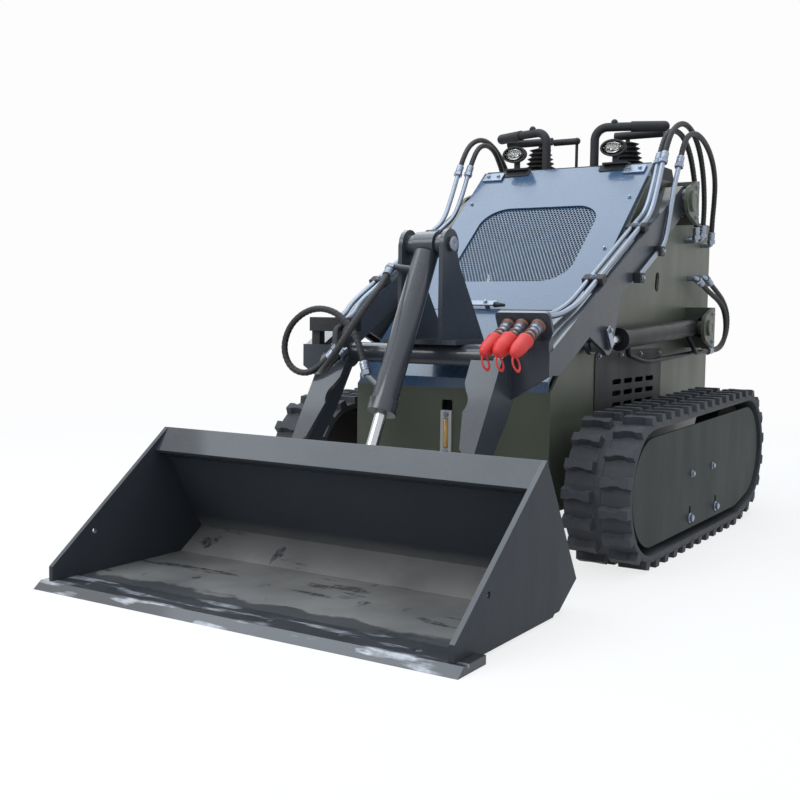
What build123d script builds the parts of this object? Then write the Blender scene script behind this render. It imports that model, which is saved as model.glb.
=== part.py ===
from build123d import *
import os
from math import atan2, cos, degrees, hypot, radians, sin, tan

# Compact stand-on tracked loader with a straight loader arm and a low bucket, in millimetres.
# +Z is up, the loader faces -Y, and its own left side is +X.
# The origin lies on the ground under the middle of the whole machine.

os.makedirs("parts", exist_ok=True)

# Body
body_half_width = 304
side_plate = 8
body_front_y = -294
body_rear_y = 1030
body_floor_z = 130
floor_plate = 8
deck_z = 968
deck_plate = 8
front_panel_plate = 8
front_panel_top_z = 450
rear_panel_plate = 6

# Sloping hood and its mesh window
hood_plate = 5
hood_flange = 34
hood_top_y = 450
hood_top_z = 1132
hood_slope = 41.3
hood_split = 285
window_half_width = 198
window_low = 412
window_high = 777
window_corner = 85
mesh_plate = 3
mesh_border = 22
mesh_slot_pitch = 33
mesh_slot_size = 20

# Loader arm and its pivot
arm_pivot_y = 515
arm_pivot_z = 1012
arm_inner_x = 315
arm_width = 60
arm_end_radius = 48
pivot_pin_radius = 22
pin_clearance = 0.1
running_gap = 2
bracket_inner_x = 390
bracket_plate = 12
bracket_radius = 48
bracket_back = 56
bracket_half_height = 68

# Legs, cross tube and tilt tower
leg_inner_x = 248
leg_plate = 24
leg_pin_y = -640
leg_pin_z = 165
leg_eye_radius = 42
leg_pin_radius = 16
cross_tube_y = -405
cross_tube_z = 545
cross_tube_radius = 27
seat_gap = 0.2
tower_pin_y = -413
tower_pin_z = 833
tower_pin_radius = 16
tower_plate = 12
tower_inner_x = 56
tower_eye_radius = 40

# Lift cylinders
lift_rear_y = 728
lift_rear_z = 616
lift_front_y = -78
lift_front_z = 579
lift_barrel_radius = 29
lift_barrel_length = 662
lift_rod_radius = 15
lift_eye_radius = 27
lift_eye_width = 26
lift_pin_radius = 14
lift_lug_plate = 12

# Tilt cylinder
tilt_rod_y = -697
tilt_rod_z = 275
tilt_barrel_radius = 33
tilt_barrel_length = 482
tilt_rod_radius = 16
tilt_eye_radius = 27
tilt_eye_width = 44
tilt_top_eye_radius = 34
tilt_top_eye_width = 60
tilt_ear_plate = 14
tilt_ear_gap = 3
leg_ear_gap = 4

# Bucket
bucket_half_width = 545
bucket_side_plate = 12
bucket_wall = 10
bucket_top_y = -828
bucket_top_z = 350
bucket_heel_y = -660
bucket_heel_z = 67
bucket_front_y = -1210
bucket_set_back = 25
edge_front_y = -1237
edge_rear_y = -1130
edge_half_width = 568
edge_plate = 18
edge_bevel = 22
edge_hole_radius = 8.5
edge_hole_count = 6
edge_hole_pitch = 180
coupling_plate = 14
coupling_half_width = 330

# Undercarriage
track_inner_x = 380
track_width = 180
track_pitch_count = 40
lug_height = 20
lug_edge_length = 22
lug_inner_length = 34
lug_reach = 80
lug_skew = 3
belt_thickness = 16
belt_radius = 180
idler_y = -192
roller_end_y = 560
sprocket_y = 675
sprocket_lift = 22
cover_gap = 22
cover_plate = 5
cover_inset = 10
cover_slots = ((121, 95), (363, 95))
cover_studs = ((131, 212), (324, 214))
roller_radius = 46
wheel_gap = 0.5

# Openings in the side plates
side_window_y = 270
side_window_z = 452
side_window_length = 500
side_window_height = 150
side_slot_y = 491
side_slot_z = 761
vent_border = 24
vent_plate = 3

# Operator's side
console_half_width = 287
console_top_rear_y = 650
console_rear_y = 700
console_wall = 4
lever_x = 157
lever_y = 586
lever_radius = 7
lever_grip_radius = 13
lever_grip_z = 1242
gaiter_foot_radius = 55
gaiter_step = 3.5
gaiter_fold = 12
gaiter_pleats = 6
gaiter_pleat_height = 15
throttle_x = -23
throttle_z = 1237
throttle_grip_length = 82
hand_bar_x = 85
hand_bar_y = 481
hand_bar_z = 1258
hand_bar_end_x = 290
hand_bar_end_y = 556
hand_bar_radius = 14
hand_pad_radius = 17
platform_half_width = 262
platform_rear_y = 1237
platform_z = 215
platform_plate = 8

# Lines
tube_radius = 7.5
line_stand_off = 6
hose_radius = 8.8
ferrule_radius = 11
ferrule_length = 36
elbow_radius = 9

# Sizes that follow from those above
body_inner_x = body_half_width - side_plate
hood_run = hood_top_y - body_front_y
hood_foot_z = hood_top_z - hood_run * tan(radians(hood_slope))
hood_length = hood_run / cos(radians(hood_slope))
hood_plane = Plane(
    origin=(0, body_front_y, hood_foot_z),
    x_dir=(1, 0, 0),
    z_dir=(0, -sin(radians(hood_slope)), cos(radians(hood_slope))),
)
arm_outer_x = arm_inner_x + arm_width
arm_centre_x = arm_inner_x + arm_width / 2
bracket_outer_x = bracket_inner_x + bracket_plate
leg_outer_x = leg_inner_x + leg_plate
tower_outer_x = tower_inner_x + tower_plate
track_outer_x = track_inner_x + track_width
lug_tip_radius = belt_radius + lug_height
idler_z = lug_tip_radius
belt_inner_radius = belt_radius - belt_thickness


def save(piece, node):
    piece.part.label = node
    export_step(piece.part, f"parts/{node}.step")


def save_pair(piece, node):
    save(piece, f"{node}_left")
    with BuildPart() as other_side:
        mirror(piece.part, about=Plane.YZ)
    save(other_side, f"{node}_right")


def save_both(piece, node):
    """Both sides' copies in one node, as separate solids."""
    with BuildPart() as both:
        add(piece.part)
        mirror(piece.part, about=Plane.YZ)
    save(both, node)


def side_face(x):
    """A plane across the machine at x, with sketch axes along Y and Z."""
    return Plane.YZ.offset(x)


def tube_path(points, bend_share=0.45):
    """A route of straight runs with tangent arcs, and the arcs' radii."""
    places = [Vector(*point) for point in points]
    radii = []
    for before, corner, after in zip(places, places[1:], places[2:]):
        turn = radians((corner - before).get_angle(after - corner))
        shorter = min((corner - before).length, (after - corner).length)
        radii.append(bend_share * shorter / tan(turn / 2))
    return places, radii


def pipe(points, radius):
    """A round line along points, added to the part being built."""
    places, radii = tube_path(points)
    with BuildLine() as route:
        if radii:
            FilletPolyline(*places, radius=radii)
        else:
            Line(*places)
    with BuildSketch(route.line ^ 0) as section:
        Circle(radius)
    sweep(section.sketch, path=route.line)
    return radii


def behind(route, length):
    """The point behind a route's start by length, in line with its first run."""
    start = Vector(*route[0])
    return start + (start - Vector(*route[1])).normalized() * length


# Chassis: two tall side plates, the floor and cross members, one weldment
tab_top_z = arm_pivot_z + bracket_half_height + 5
tab_front_y = body_front_y + (tab_top_z - hood_foot_z + hood_plate * 3) / tan(radians(hood_slope))
tab_rear_y = arm_pivot_y + bracket_back + bracket_plate
with BuildPart() as chassis:
    with BuildSketch(side_face(body_inner_x)):
        with BuildLine():
            Polyline(
                (body_front_y, body_floor_z + 60),
                (body_front_y, front_panel_top_z),
                (tab_front_y, tab_top_z),
                (tab_rear_y, tab_top_z),
                (tab_rear_y + 14, deck_z),
                (body_rear_y, deck_z),
                (body_rear_y, body_floor_z + 150),
                (body_rear_y - 100, body_floor_z),
                (body_front_y + 70, body_floor_z),
                close=True,
            )
        make_face()
        with Locations((side_window_y, side_window_z)):
            RectangleRounded(side_window_length, side_window_height, 12, mode=Mode.SUBTRACT)
        with Locations((side_slot_y, side_slot_z)):
            SlotOverall(62, 34, rotation=80, mode=Mode.SUBTRACT)
    extrude(amount=side_plate)
    mirror(about=Plane.YZ)
    with BuildSketch(Plane.XY.offset(body_floor_z)):
        with Locations((0, (body_front_y + body_rear_y) / 2 - 15)):
            Rectangle(2 * body_inner_x, body_rear_y - body_front_y - 170)
    extrude(amount=floor_plate)
    for cross_y, low_z, high_z in ((body_front_y + 60, 360, 440), (body_rear_y - 60, 138, 330)):
        with Locations((0, cross_y, (low_z + high_z) / 2)):
            Box(2 * body_inner_x, side_plate, high_z - low_z)
save(chassis, "chassis")

# Front panel, with the seat of the level gauge
gauge_x = -5
gauge_low_z = 262
gauge_high_z = 388
gauge_width = 34
with BuildPart() as front_panel:
    with BuildSketch(Plane.XZ.offset(-body_front_y - front_panel_plate)):
        with BuildLine():
            Polyline(
                (-body_inner_x, body_floor_z + floor_plate + 52),
                (-body_inner_x, front_panel_top_z),
                (body_inner_x, front_panel_top_z),
                (body_inner_x, body_floor_z + floor_plate + 52),
                close=True,
            )
        make_face()
        with Locations((gauge_x, (gauge_low_z + gauge_high_z) / 2 + 11)):
            RectangleRounded(gauge_width, gauge_high_z - gauge_low_z + 36, 6, mode=Mode.SUBTRACT)
    extrude(amount=front_panel_plate)
    with BuildSketch(side_face(-body_inner_x)):
        with BuildLine():
            Polyline(
                (body_front_y, body_floor_z + floor_plate + 52),
                (body_front_y + 45, body_floor_z + floor_plate + 8),
                (body_front_y + 53, body_floor_z + floor_plate + 14),
                (body_front_y + front_panel_plate, body_floor_z + floor_plate + 55),
                close=True,
            )
        make_face()
    extrude(amount=2 * body_inner_x)
save(front_panel, "front_panel")

with BuildPart() as level_gauge:
    with BuildSketch(Plane.XZ.offset(-body_front_y - front_panel_plate)):
        with Locations((gauge_x, (gauge_low_z + gauge_high_z) / 2)):
            Rectangle(gauge_width, gauge_high_z - gauge_low_z)
            Rectangle(gauge_width - 20, gauge_high_z - gauge_low_z - 44, mode=Mode.SUBTRACT)
    extrude(amount=front_panel_plate + 6)
    with Locations((gauge_x, body_front_y + 4, (gauge_low_z + gauge_high_z) / 2)):
        Box(gauge_width - 20, 6, gauge_high_z - gauge_low_z - 44)
save(level_gauge, "level_gauge")

# Hood: a sloping plate with folded side flanges and a rounded window
with BuildPart() as hood:
    with BuildSketch(hood_plane):
        with Locations((0, (hood_split + hood_length - hood_plate) / 2)):
            Rectangle(2 * body_inner_x, hood_length - hood_plate - hood_split)
        with Locations((0, (window_low + window_high) / 2)):
            RectangleRounded(
                2 * window_half_width, window_high - window_low, window_corner, mode=Mode.SUBTRACT
            )
    extrude(amount=-hood_plate)
    for flange_x in (-body_inner_x + hood_plate / 2, body_inner_x - hood_plate / 2):
        with BuildSketch(hood_plane.offset(-hood_plate)):
            with Locations((flange_x, (hood_split + hood_length) / 2 - 20)):
                Rectangle(hood_plate, hood_length - hood_split - 40)
        extrude(amount=-hood_flange)
save(hood, "hood")

# Lower hood panel, from the front panel's top edge to the hood
with BuildPart() as hood_apron:
    with BuildSketch(side_face(-body_inner_x)):
        with BuildLine():
            Polyline(
                (body_front_y, front_panel_top_z),
                (body_front_y, hood_foot_z),
                (body_front_y + (hood_split - 3) * cos(radians(hood_slope)),
                 hood_foot_z + (hood_split - 3) * sin(radians(hood_slope))),
                (body_front_y + (hood_split - 3) * cos(radians(hood_slope)) + 4,
                 hood_foot_z + (hood_split - 3) * sin(radians(hood_slope)) - 5),
                (body_front_y + front_panel_plate, hood_foot_z - 4),
                (body_front_y + front_panel_plate, front_panel_top_z),
                close=True,
            )
        make_face()
    extrude(amount=2 * body_inner_x)
save(hood_apron, "hood_apron")

# Perforated screen behind the window
with BuildPart() as hood_mesh:
    with BuildSketch(hood_plane.offset(-hood_plate - mesh_plate)):
        with Locations((0, (window_low + window_high) / 2)):
            RectangleRounded(
                2 * (window_half_width + mesh_border),
                window_high - window_low + 2 * mesh_border,
                window_corner + mesh_border,
            )
            with GridLocations(mesh_slot_pitch, mesh_slot_pitch, 11, 10):
                RegularPolygon(mesh_slot_size / 2, 4, mode=Mode.SUBTRACT)
    extrude(amount=mesh_plate)
save(hood_mesh, "hood_mesh")

# Slotted vent panels that close the side openings
with BuildPart() as vent_panel:
    with BuildSketch(side_face(body_half_width)):
        with Locations((side_window_y, side_window_z)):
            RectangleRounded(
                side_window_length + 2 * vent_border, side_window_height + 2 * vent_border, 16
            )
        with Locations((side_window_y + 30, side_window_z - 27)):
            with GridLocations(92, 34, 4, 3):
                SlotOverall(70, 15, mode=Mode.SUBTRACT)
    extrude(amount=vent_plate)
save_both(vent_panel, "vent_panels")

# Engine with its gearbox and pumps, a plain mass on the floor plate
with BuildPart() as engine_block:
    with Locations((0, 640, body_floor_z + floor_plate + 300)):
        Box(380, 560, 600)
save(engine_block, "engine_block")

# Rear panel with louvres, and the deck over the engine
with BuildPart() as rear_panel:
    with BuildSketch(Plane.XZ.offset(-body_rear_y)):
        with Locations((0, (deck_z + body_floor_z + 170) / 2)):
            Rectangle(2 * body_inner_x, deck_z - body_floor_z - 170)
        with Locations((0, 470)):
            with GridLocations(0.1, 40, 1, 6):
                SlotOverall(360, 16, mode=Mode.SUBTRACT)
    extrude(amount=rear_panel_plate)
save(rear_panel, "rear_panel")

with BuildPart() as deck:
    with BuildSketch(Plane.XY.offset(deck_z)):
        with Locations((0, (console_rear_y + body_rear_y) / 2)):
            Rectangle(2 * body_half_width, body_rear_y - console_rear_y)
    extrude(amount=deck_plate)
save(deck, "deck")

# Console: the black box behind the hood's top edge
with BuildPart() as console:
    with BuildSketch(side_face(-console_half_width)):
        with BuildLine():
            Polyline(
                (hood_top_y, hood_top_z),
                (console_top_rear_y, hood_top_z),
                (console_rear_y, hood_top_z - 70),
                (console_rear_y, deck_z - 60),
                (hood_top_y, deck_z - 60),
                close=True,
            )
        make_face()
    extrude(amount=2 * console_half_width)
    offset(amount=-console_wall, openings=console.faces().sort_by(Axis.Z)[0])
save(console, "console")

# Work lamps in oval housings, on brackets with a tab over the hood's top edge
lamp_x = 173
lamp_y = 428
lamp_z = 1181
lamp_half_width = 43
lamp_half_height = 27
lamp_bezel = 6
lamp_depth = 12
lamp_tab_width = 100
lamp_tab_drop = 36
lamp_foot = 6
with BuildPart() as lamp:
    with BuildSketch(Plane.XZ.offset(-lamp_y)):
        with Locations((lamp_x, lamp_z)):
            Ellipse(lamp_half_width, lamp_half_height)
    extrude(amount=lamp_depth)
    with BuildSketch(Plane.XZ.offset(-lamp_y)):
        with Locations((lamp_x, lamp_z)):
            Ellipse(lamp_half_width - 2, lamp_half_height - 2)
    with BuildSketch(Plane.XZ.offset(-lamp_y - 26)):
        with Locations((lamp_x, lamp_z)):
            Ellipse(lamp_half_width - 14, lamp_half_height - 11)
    loft()
    with BuildSketch(Plane.XZ.offset(-lamp_y + lamp_depth)):
        with Locations((lamp_x, lamp_z)):
            Ellipse(lamp_half_width - lamp_bezel, lamp_half_height - lamp_bezel)
    extrude(amount=-8, mode=Mode.SUBTRACT)
    with Locations((lamp_x, lamp_y + 14, (hood_top_z + lamp_z) / 2)):
        Box(18, 10, lamp_z - hood_top_z)
    with Locations((lamp_x, lamp_y + 24, hood_top_z + lamp_foot / 2)):
        Box(lamp_tab_width - 20, 44, lamp_foot)
    with BuildSketch(hood_plane):
        with Locations((lamp_x, hood_length - lamp_tab_drop / 2)):
            RectangleRounded(lamp_tab_width, lamp_tab_drop, 8)
    extrude(amount=lamp_foot / 2)
save_both(lamp, "work_lamps")

# Hand levers in bellows gaiters with cross grips, and the throttle's handle on the right
gaiter_top_z = hood_top_z + gaiter_pleats * gaiter_pleat_height
with BuildPart() as lever:
    with BuildSketch(Plane.XZ.offset(-lever_y)):
        with BuildLine():
            outline = [(lever_x, hood_top_z)]
            for pleat in range(gaiter_pleats):
                outer = gaiter_foot_radius - gaiter_step * pleat
                pleat_z = hood_top_z + pleat * gaiter_pleat_height
                outline.append((lever_x + outer - gaiter_fold, pleat_z))
                outline.append((lever_x + outer, pleat_z + gaiter_pleat_height / 2))
            outline.append((lever_x + lever_radius + 4, gaiter_top_z))
            outline.append((lever_x, gaiter_top_z))
            Polyline(*outline, close=True)
        make_face()
    revolve(axis=Axis((lever_x, lever_y, 0), (0, 0, 1)))
    with Locations((lever_x, lever_y, (gaiter_top_z + lever_grip_z) / 2)):
        Cylinder(lever_radius, lever_grip_z - gaiter_top_z)
    pipe([(lever_x - 44, lever_y, lever_grip_z), (lever_x + 123, lever_y, lever_grip_z)], lever_grip_radius)
with BuildPart() as levers:
    add(lever.part)
    mirror(lever.part, about=Plane.YZ)
    pipe([(throttle_x, lever_y, hood_top_z), (throttle_x, lever_y, throttle_z)], 5)
    with Locations((throttle_x, lever_y, throttle_z)):
        Sphere(12)
    pipe(
        [(throttle_x, lever_y, throttle_z), (throttle_x - throttle_grip_length, lever_y, throttle_z)],
        11,
    )
save(levers, "levers")

# Hand bars: an upright each, bent outwards and back, with a padded end and a knob
with BuildPart() as hand_bar:
    bar_mid = Vector(hand_bar_x + 88, hand_bar_y + 22, hand_bar_z)
    bar_end = Vector(hand_bar_end_x, hand_bar_end_y, hand_bar_z)
    bar_out = (bar_end - bar_mid).normalized()
    pipe(
        [(hand_bar_x, hand_bar_y, hood_top_z), (hand_bar_x, hand_bar_y, hand_bar_z), bar_mid, bar_end],
        hand_bar_radius,
    )
    pad_start = bar_mid + bar_out * 24
    pipe([pad_start, bar_end], hand_pad_radius)
    with Locations(bar_end):
        Sphere(hand_pad_radius)
    with Locations(bar_mid - Vector(28, 7, -hand_bar_radius)):
        Sphere(11)
save_both(hand_bar, "hand_bar")

# Pivot brackets and lift cylinder brackets: a shaped outer plate, a back plate and the pin
def pin_bracket(pin_y, pin_z, cap_radius):
    with BuildSketch(side_face(bracket_inner_x)) as plate:
        with Locations((pin_y, pin_z)):
            Circle(bracket_radius)
        with Locations((pin_y + bracket_back + bracket_plate / 2, pin_z)):
            Rectangle(bracket_plate, 2 * bracket_half_height)
        make_hull()
    extrude(plate.sketch, amount=bracket_plate)
    with BuildSketch(side_face(body_half_width)) as inside:
        with Locations((pin_y + bracket_back + bracket_plate / 2, pin_z)):
            Rectangle(bracket_plate, 2 * bracket_half_height)
        with Locations((pin_y, pin_z)):
            Circle(pivot_pin_radius)
    extrude(inside.sketch, amount=bracket_inner_x - body_half_width)
    with BuildSketch(side_face(bracket_outer_x)) as cap:
        with Locations((pin_y, pin_z)):
            Circle(cap_radius)
    extrude(cap.sketch, amount=8)


with BuildPart() as pivot_bracket:
    pin_bracket(arm_pivot_y, arm_pivot_z, 32)
save_both(pivot_bracket, "pivot_brackets")

with BuildPart() as lift_bracket:
    pin_bracket(lift_rear_y, lift_rear_z, 26)
save_both(lift_bracket, "lift_brackets")

# Loader arms: box beams with round rear ends and lugs for the lift rods
arm_front_y = -448
arm_front_top_z = 564
arm_front_low_z = 504
with BuildPart() as arm:
    arm_rear_top_z = arm_pivot_z + arm_end_radius
    arm_rear_low_z = arm_pivot_z - 0.8 * arm_end_radius
    with BuildSketch(side_face(arm_inner_x)):
        with BuildLine():
            Polyline(
                (arm_front_y, arm_front_low_z),
                (arm_front_y, arm_front_top_z),
                (arm_pivot_y - 22, arm_rear_top_z - 4),
                (arm_pivot_y, arm_pivot_z),
                (arm_pivot_y - 8, arm_rear_low_z - 6),
                (arm_front_y + 53, arm_front_low_z - 2),
                close=True,
            )
        make_face()
        with Locations((arm_pivot_y, arm_pivot_z)):
            Circle(arm_end_radius)
    extrude(amount=arm_width)
    with BuildSketch(side_face(body_half_width + running_gap)):
        with Locations((arm_pivot_y, arm_pivot_z)):
            Circle(arm_end_radius - 8)
    extrude(amount=bracket_inner_x - body_half_width - 2 * running_gap)
    for lug_x in (arm_inner_x + 2, arm_outer_x - 2 - lift_lug_plate):
        with BuildSketch(side_face(lug_x)):
            with BuildLine():
                Polyline(
                    (lift_front_y - 140, 600),
                    (lift_front_y - 26, lift_front_z - 22),
                    (lift_front_y + 26, lift_front_z - 22),
                    (lift_front_y + 92, 720),
                    close=True,
                )
            make_face()
            with Locations((lift_front_y, lift_front_z)):
                Circle(34)
        extrude(amount=lift_lug_plate)
    with BuildSketch(side_face(arm_outer_x - 2)):
        with Locations((lift_front_y, lift_front_z)):
            Circle(20)
        with Locations((lift_front_y - 21, lift_front_z + 31)):
            Circle(14)
        make_hull()
    extrude(amount=8)
    with BuildSketch(side_face(0)):
        with Locations((arm_pivot_y, arm_pivot_z)):
            Circle(pivot_pin_radius + pin_clearance)
    extrude(amount=500, mode=Mode.SUBTRACT)
save_pair(arm, "arm")

# Legs: thick plates down to the bucket's lower pins, with a folded face web
leg_slope = atan2(239, 147)
leg_plane = Plane(
    origin=(0, -508, 544),
    x_dir=(1, 0, 0),
    z_dir=(0, -sin(leg_slope), cos(leg_slope)),
)
with BuildPart() as leg:
    with BuildSketch(side_face(leg_inner_x)):
        with BuildLine():
            Polyline(
                (cross_tube_y - 30, cross_tube_z + 32),
                (-508, 544),
                (-655, 305),
                (leg_pin_y - leg_eye_radius, leg_pin_z),
                (leg_pin_y + leg_eye_radius, leg_pin_z),
                (-564, 291),
                (-479, 387),
                (-404, 499),
                (cross_tube_y + 40, cross_tube_z),
                close=True,
            )
        make_face()
        with Locations((leg_pin_y, leg_pin_z)):
            Circle(leg_eye_radius)
        with Locations((cross_tube_y, cross_tube_z)):
            Circle(cross_tube_radius + 16)
            Circle(cross_tube_radius + seat_gap, mode=Mode.SUBTRACT)
        with Locations((leg_pin_y, leg_pin_z)):
            Circle(leg_pin_radius + pin_clearance, mode=Mode.SUBTRACT)
    extrude(amount=leg_plate)
    with BuildSketch(leg_plane):
        with BuildLine():
            Polyline((leg_inner_x, -6), (186, -6), (188, -70), (200, -96))
            ThreePointArc((200, -96), (212, -122), (206, -150))
            Polyline((206, -150), (228, -250), (leg_inner_x, -270), (leg_inner_x, -6))
        make_face()
    extrude(amount=-10)
    with BuildSketch(Plane.XZ.offset(-arm_front_y)):
        with BuildLine():
            Polyline(
                (leg_outer_x, arm_front_top_z),
                (arm_outer_x, arm_front_top_z),
                (arm_outer_x, arm_front_low_z),
                (leg_outer_x, arm_front_low_z - 64),
                close=True,
            )
        make_face()
    extrude(amount=12)
save_pair(leg, "leg")

with BuildPart() as cross_tube:
    with BuildSketch(side_face(-arm_inner_x)):
        with Locations((cross_tube_y, cross_tube_z)):
            Circle(cross_tube_radius)
    extrude(amount=2 * arm_inner_x)
save(cross_tube, "cross_tube")

# Tilt tower: two triangular uprights on a foot plate, with the cylinder's top pin
tower_foot_z = cross_tube_z + cross_tube_radius
tower_front_y = -455
tower_rear_y = -224
with BuildPart() as tilt_tower:
    for upright_x in (tower_inner_x, -tower_outer_x):
        with BuildSketch(side_face(upright_x)):
            with BuildLine():
                Polyline(
                    (tower_front_y, tower_foot_z),
                    (tower_front_y, tower_pin_z),
                    (tower_pin_y, tower_pin_z),
                    (tower_pin_y + 34, tower_pin_z - 20),
                    (-365, 779),
                    (tower_rear_y, tower_foot_z + 12),
                    (tower_rear_y, tower_foot_z),
                    close=True,
                )
            make_face()
            with Locations((tower_pin_y, tower_pin_z)):
                Circle(tower_eye_radius)
        extrude(amount=tower_plate)
    with Locations((0, (tower_front_y + tower_rear_y) / 2, tower_foot_z + 6)):
        Box(220, tower_rear_y - tower_front_y, 12)
    with BuildSketch(side_face(-tower_outer_x - 6)):
        with Locations((tower_pin_y, tower_pin_z)):
            Circle(tower_pin_radius)
    extrude(amount=2 * (tower_outer_x + 6))
    for collar_x in (tilt_top_eye_width / 2 + 1, -tower_inner_x):
        with BuildSketch(side_face(collar_x)):
            with Locations((tower_pin_y, tower_pin_z)):
                Circle(tower_pin_radius + 10)
        extrude(amount=tower_inner_x - tilt_top_eye_width / 2 - 1)
save(tilt_tower, "tilt_tower")

coupler_rear_y = -449
valve_rear_y = -436
valve_front_y = -474

# Coupler plate with its three flat-faced couplers
coupler_xs = (265, 303, 346)
coupler_plane = Plane(origin=(0, -460, 628), x_dir=(1, 0, 0), z_dir=(0, -0.894, -0.447))
with BuildPart() as coupler_plate:
    with BuildSketch(coupler_plane):
        with Locations((304, 0)):
            RectangleRounded(148, 66, 12)
    extrude(amount=-10)
    with BuildSketch(side_face(arm_inner_x + 2)):
        with BuildLine():
            Polyline(
                (arm_front_y - 12, arm_front_top_z),
                (arm_front_y, arm_front_top_z + 0.3),
                (arm_front_y + 14, arm_front_top_z + 7.6),
                (arm_front_y + 14, arm_front_top_z + 36),
                (arm_front_y + 2, arm_front_top_z + 36),
                (arm_front_y - 12, arm_front_top_z + 21),
                close=True,
            )
        make_face()
    extrude(amount=arm_width - 4)
save(coupler_plate, "coupler_plate")

with BuildPart() as couplers:
    for coupler_x in coupler_xs:
        for radius, start, length in ((16, 0, 34), (13, 34, 48), (18.5, 82, 16), (15, 98, 26)):
            with BuildSketch(coupler_plane.offset(start)):
                with Locations((coupler_x, 0)):
                    Circle(radius)
            extrude(amount=length)
save(couplers, "couplers")


def cylinder_plane(start_y, start_z, end_y, end_z, x):
    """A plane across a cylinder at its first pin, facing its second."""
    run = hypot(end_y - start_y, end_z - start_z)
    return Plane(
        origin=(x, start_y, start_z),
        x_dir=(1, 0, 0),
        z_dir=(0, (end_y - start_y) / run, (end_z - start_z) / run),
    )


def eye(pin_y, pin_z, x, width, radius, bore):
    """A cross eye on a pin, bored where bore isn't zero."""
    with BuildSketch(side_face(x - width / 2)) as ring:
        with Locations((pin_y, pin_z)):
            Circle(radius)
    extrude(ring.sketch, amount=width)
    if bore:
        with BuildSketch(side_face(x - width / 2)) as hole:
            with Locations((pin_y, pin_z)):
                Circle(bore)
        extrude(hole.sketch, amount=width, mode=Mode.SUBTRACT)


def barrel(plane, radius, length, rod_radius, foot):
    """A cylinder barrel with its gland, open for the rod."""
    with BuildSketch(plane.offset(foot)) as tube:
        Circle(radius)
    extrude(tube.sketch, amount=length - foot)
    with BuildSketch(plane.offset(length - 34)) as gland:
        Circle(radius + 4)
    extrude(gland.sketch, amount=34)
    with BuildSketch(plane.offset(foot + 60)) as rod_bore:
        Circle(rod_radius + 0.4)
    extrude(rod_bore.sketch, amount=length - foot - 60, mode=Mode.SUBTRACT)


lift_hose_low = [
    (344, 920, 536),
    (346, 985, 535),
    (352, 1048, 550),
    (358, 1092, 598),
    (358, 1094, 663),
    (353, 1050, 711),
    (347, 990, 742),
    (340, 935, 768),
]
lift_hose_high = [
    (368, 876, 537),
    (369, 930, 538),
    (371, 982, 549),
    (372, 1022, 581),
    (370, 1037, 630),
    (366, 1020, 679),
    (360, 976, 709),
    (352, 926, 728),
    (345, 880, 746),
    (340, 838, 764),
]
lift_run = hypot(lift_front_y - lift_rear_y, lift_front_z - lift_rear_z)
lift_plane = cylinder_plane(lift_rear_y, lift_rear_z, lift_front_y, lift_front_z, arm_centre_x)
with BuildPart() as lift_barrel:
    barrel(lift_plane, lift_barrel_radius, lift_barrel_length, lift_rod_radius, 26)
    eye(lift_rear_y, lift_rear_z, arm_centre_x, 50, 34, 0)
    low_end = behind(lift_hose_low, ferrule_length)
    pipe([(344, 150, 568), (344, 150, 540), (344, 295, 514), low_end], tube_radius)
    pipe([low_end, lift_hose_low[0]], ferrule_radius)
    high_end = behind(lift_hose_high, ferrule_length)
    pipe([(354, 664, 588), (368, 664, 562), (368, 700, 533), high_end], tube_radius)
    pipe([high_end, lift_hose_high[0]], ferrule_radius)
    with BuildSketch(side_face(arm_centre_x - 40)):
        with Locations((lift_rear_y, lift_rear_z)):
            Circle(pivot_pin_radius + pin_clearance)
    extrude(amount=80, mode=Mode.SUBTRACT)
save_pair(lift_barrel, "lift_barrel")

with BuildPart() as lift_rod:
    with BuildSketch(lift_plane.offset(90)):
        Circle(lift_rod_radius)
    extrude(amount=lift_run - 90)
    eye(lift_front_y, lift_front_z, arm_centre_x, lift_eye_width, lift_eye_radius, 0)
    eye(lift_front_y, lift_front_z, arm_centre_x, lift_eye_width + 4, lift_pin_radius, 0)
save_pair(lift_rod, "lift_rod")

tilt_hose_low = [
    (-228, -545, 532),
    (-256, -556, 500),
    (-302, -560, 486),
    (-348, -559, 506),
    (-370, -556, 554),
    (-356, -552, 608),
    (-318, -548, 646),
    (-268, -546, 664),
    (-216, -546, 658),
    (-172, -549, 634),
    (-136, -556, 600),
    (-110, -566, 562),
    (-92, -576, 526),
]
tilt_hose_high = [
    (-198, -545, 535),
    (-195, -590, 513),
    (-180, -640, 500),
    (-148, -684, 503),
    (-106, -712, 524),
    (-73, -714, 566),
    (-56, -690, 612),
    (-52, -648, 654),
    (-55, -596, 692),
    (-62, -540, 726),
    (-69, -508, 750),
]
tilt_run = hypot(tilt_rod_y - tower_pin_y, tilt_rod_z - tower_pin_z)
tilt_plane = cylinder_plane(tower_pin_y, tower_pin_z, tilt_rod_y, tilt_rod_z, 0)
with BuildPart() as tilt_barrel:
    barrel(tilt_plane, tilt_barrel_radius, tilt_barrel_length, tilt_rod_radius, 30)
    eye(tower_pin_y, tower_pin_z, 0, tilt_top_eye_width, tilt_top_eye_radius, 0)
    for route, port in ((tilt_hose_high, (-25, -462, 768)), (tilt_hose_low, (-25, -602, 462))):
        tail = route[::-1]
        ferrule_foot = behind(tail, ferrule_length - 12)
        bend = behind(tail, ferrule_length + 6)
        pipe([tail[0], ferrule_foot], ferrule_radius)
        pipe([ferrule_foot, bend, port], elbow_radius)
    with BuildSketch(side_face(-50)):
        with Locations((tower_pin_y, tower_pin_z)):
            Circle(tower_pin_radius + pin_clearance)
    extrude(amount=100, mode=Mode.SUBTRACT)
save(tilt_barrel, "tilt_barrel")

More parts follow.
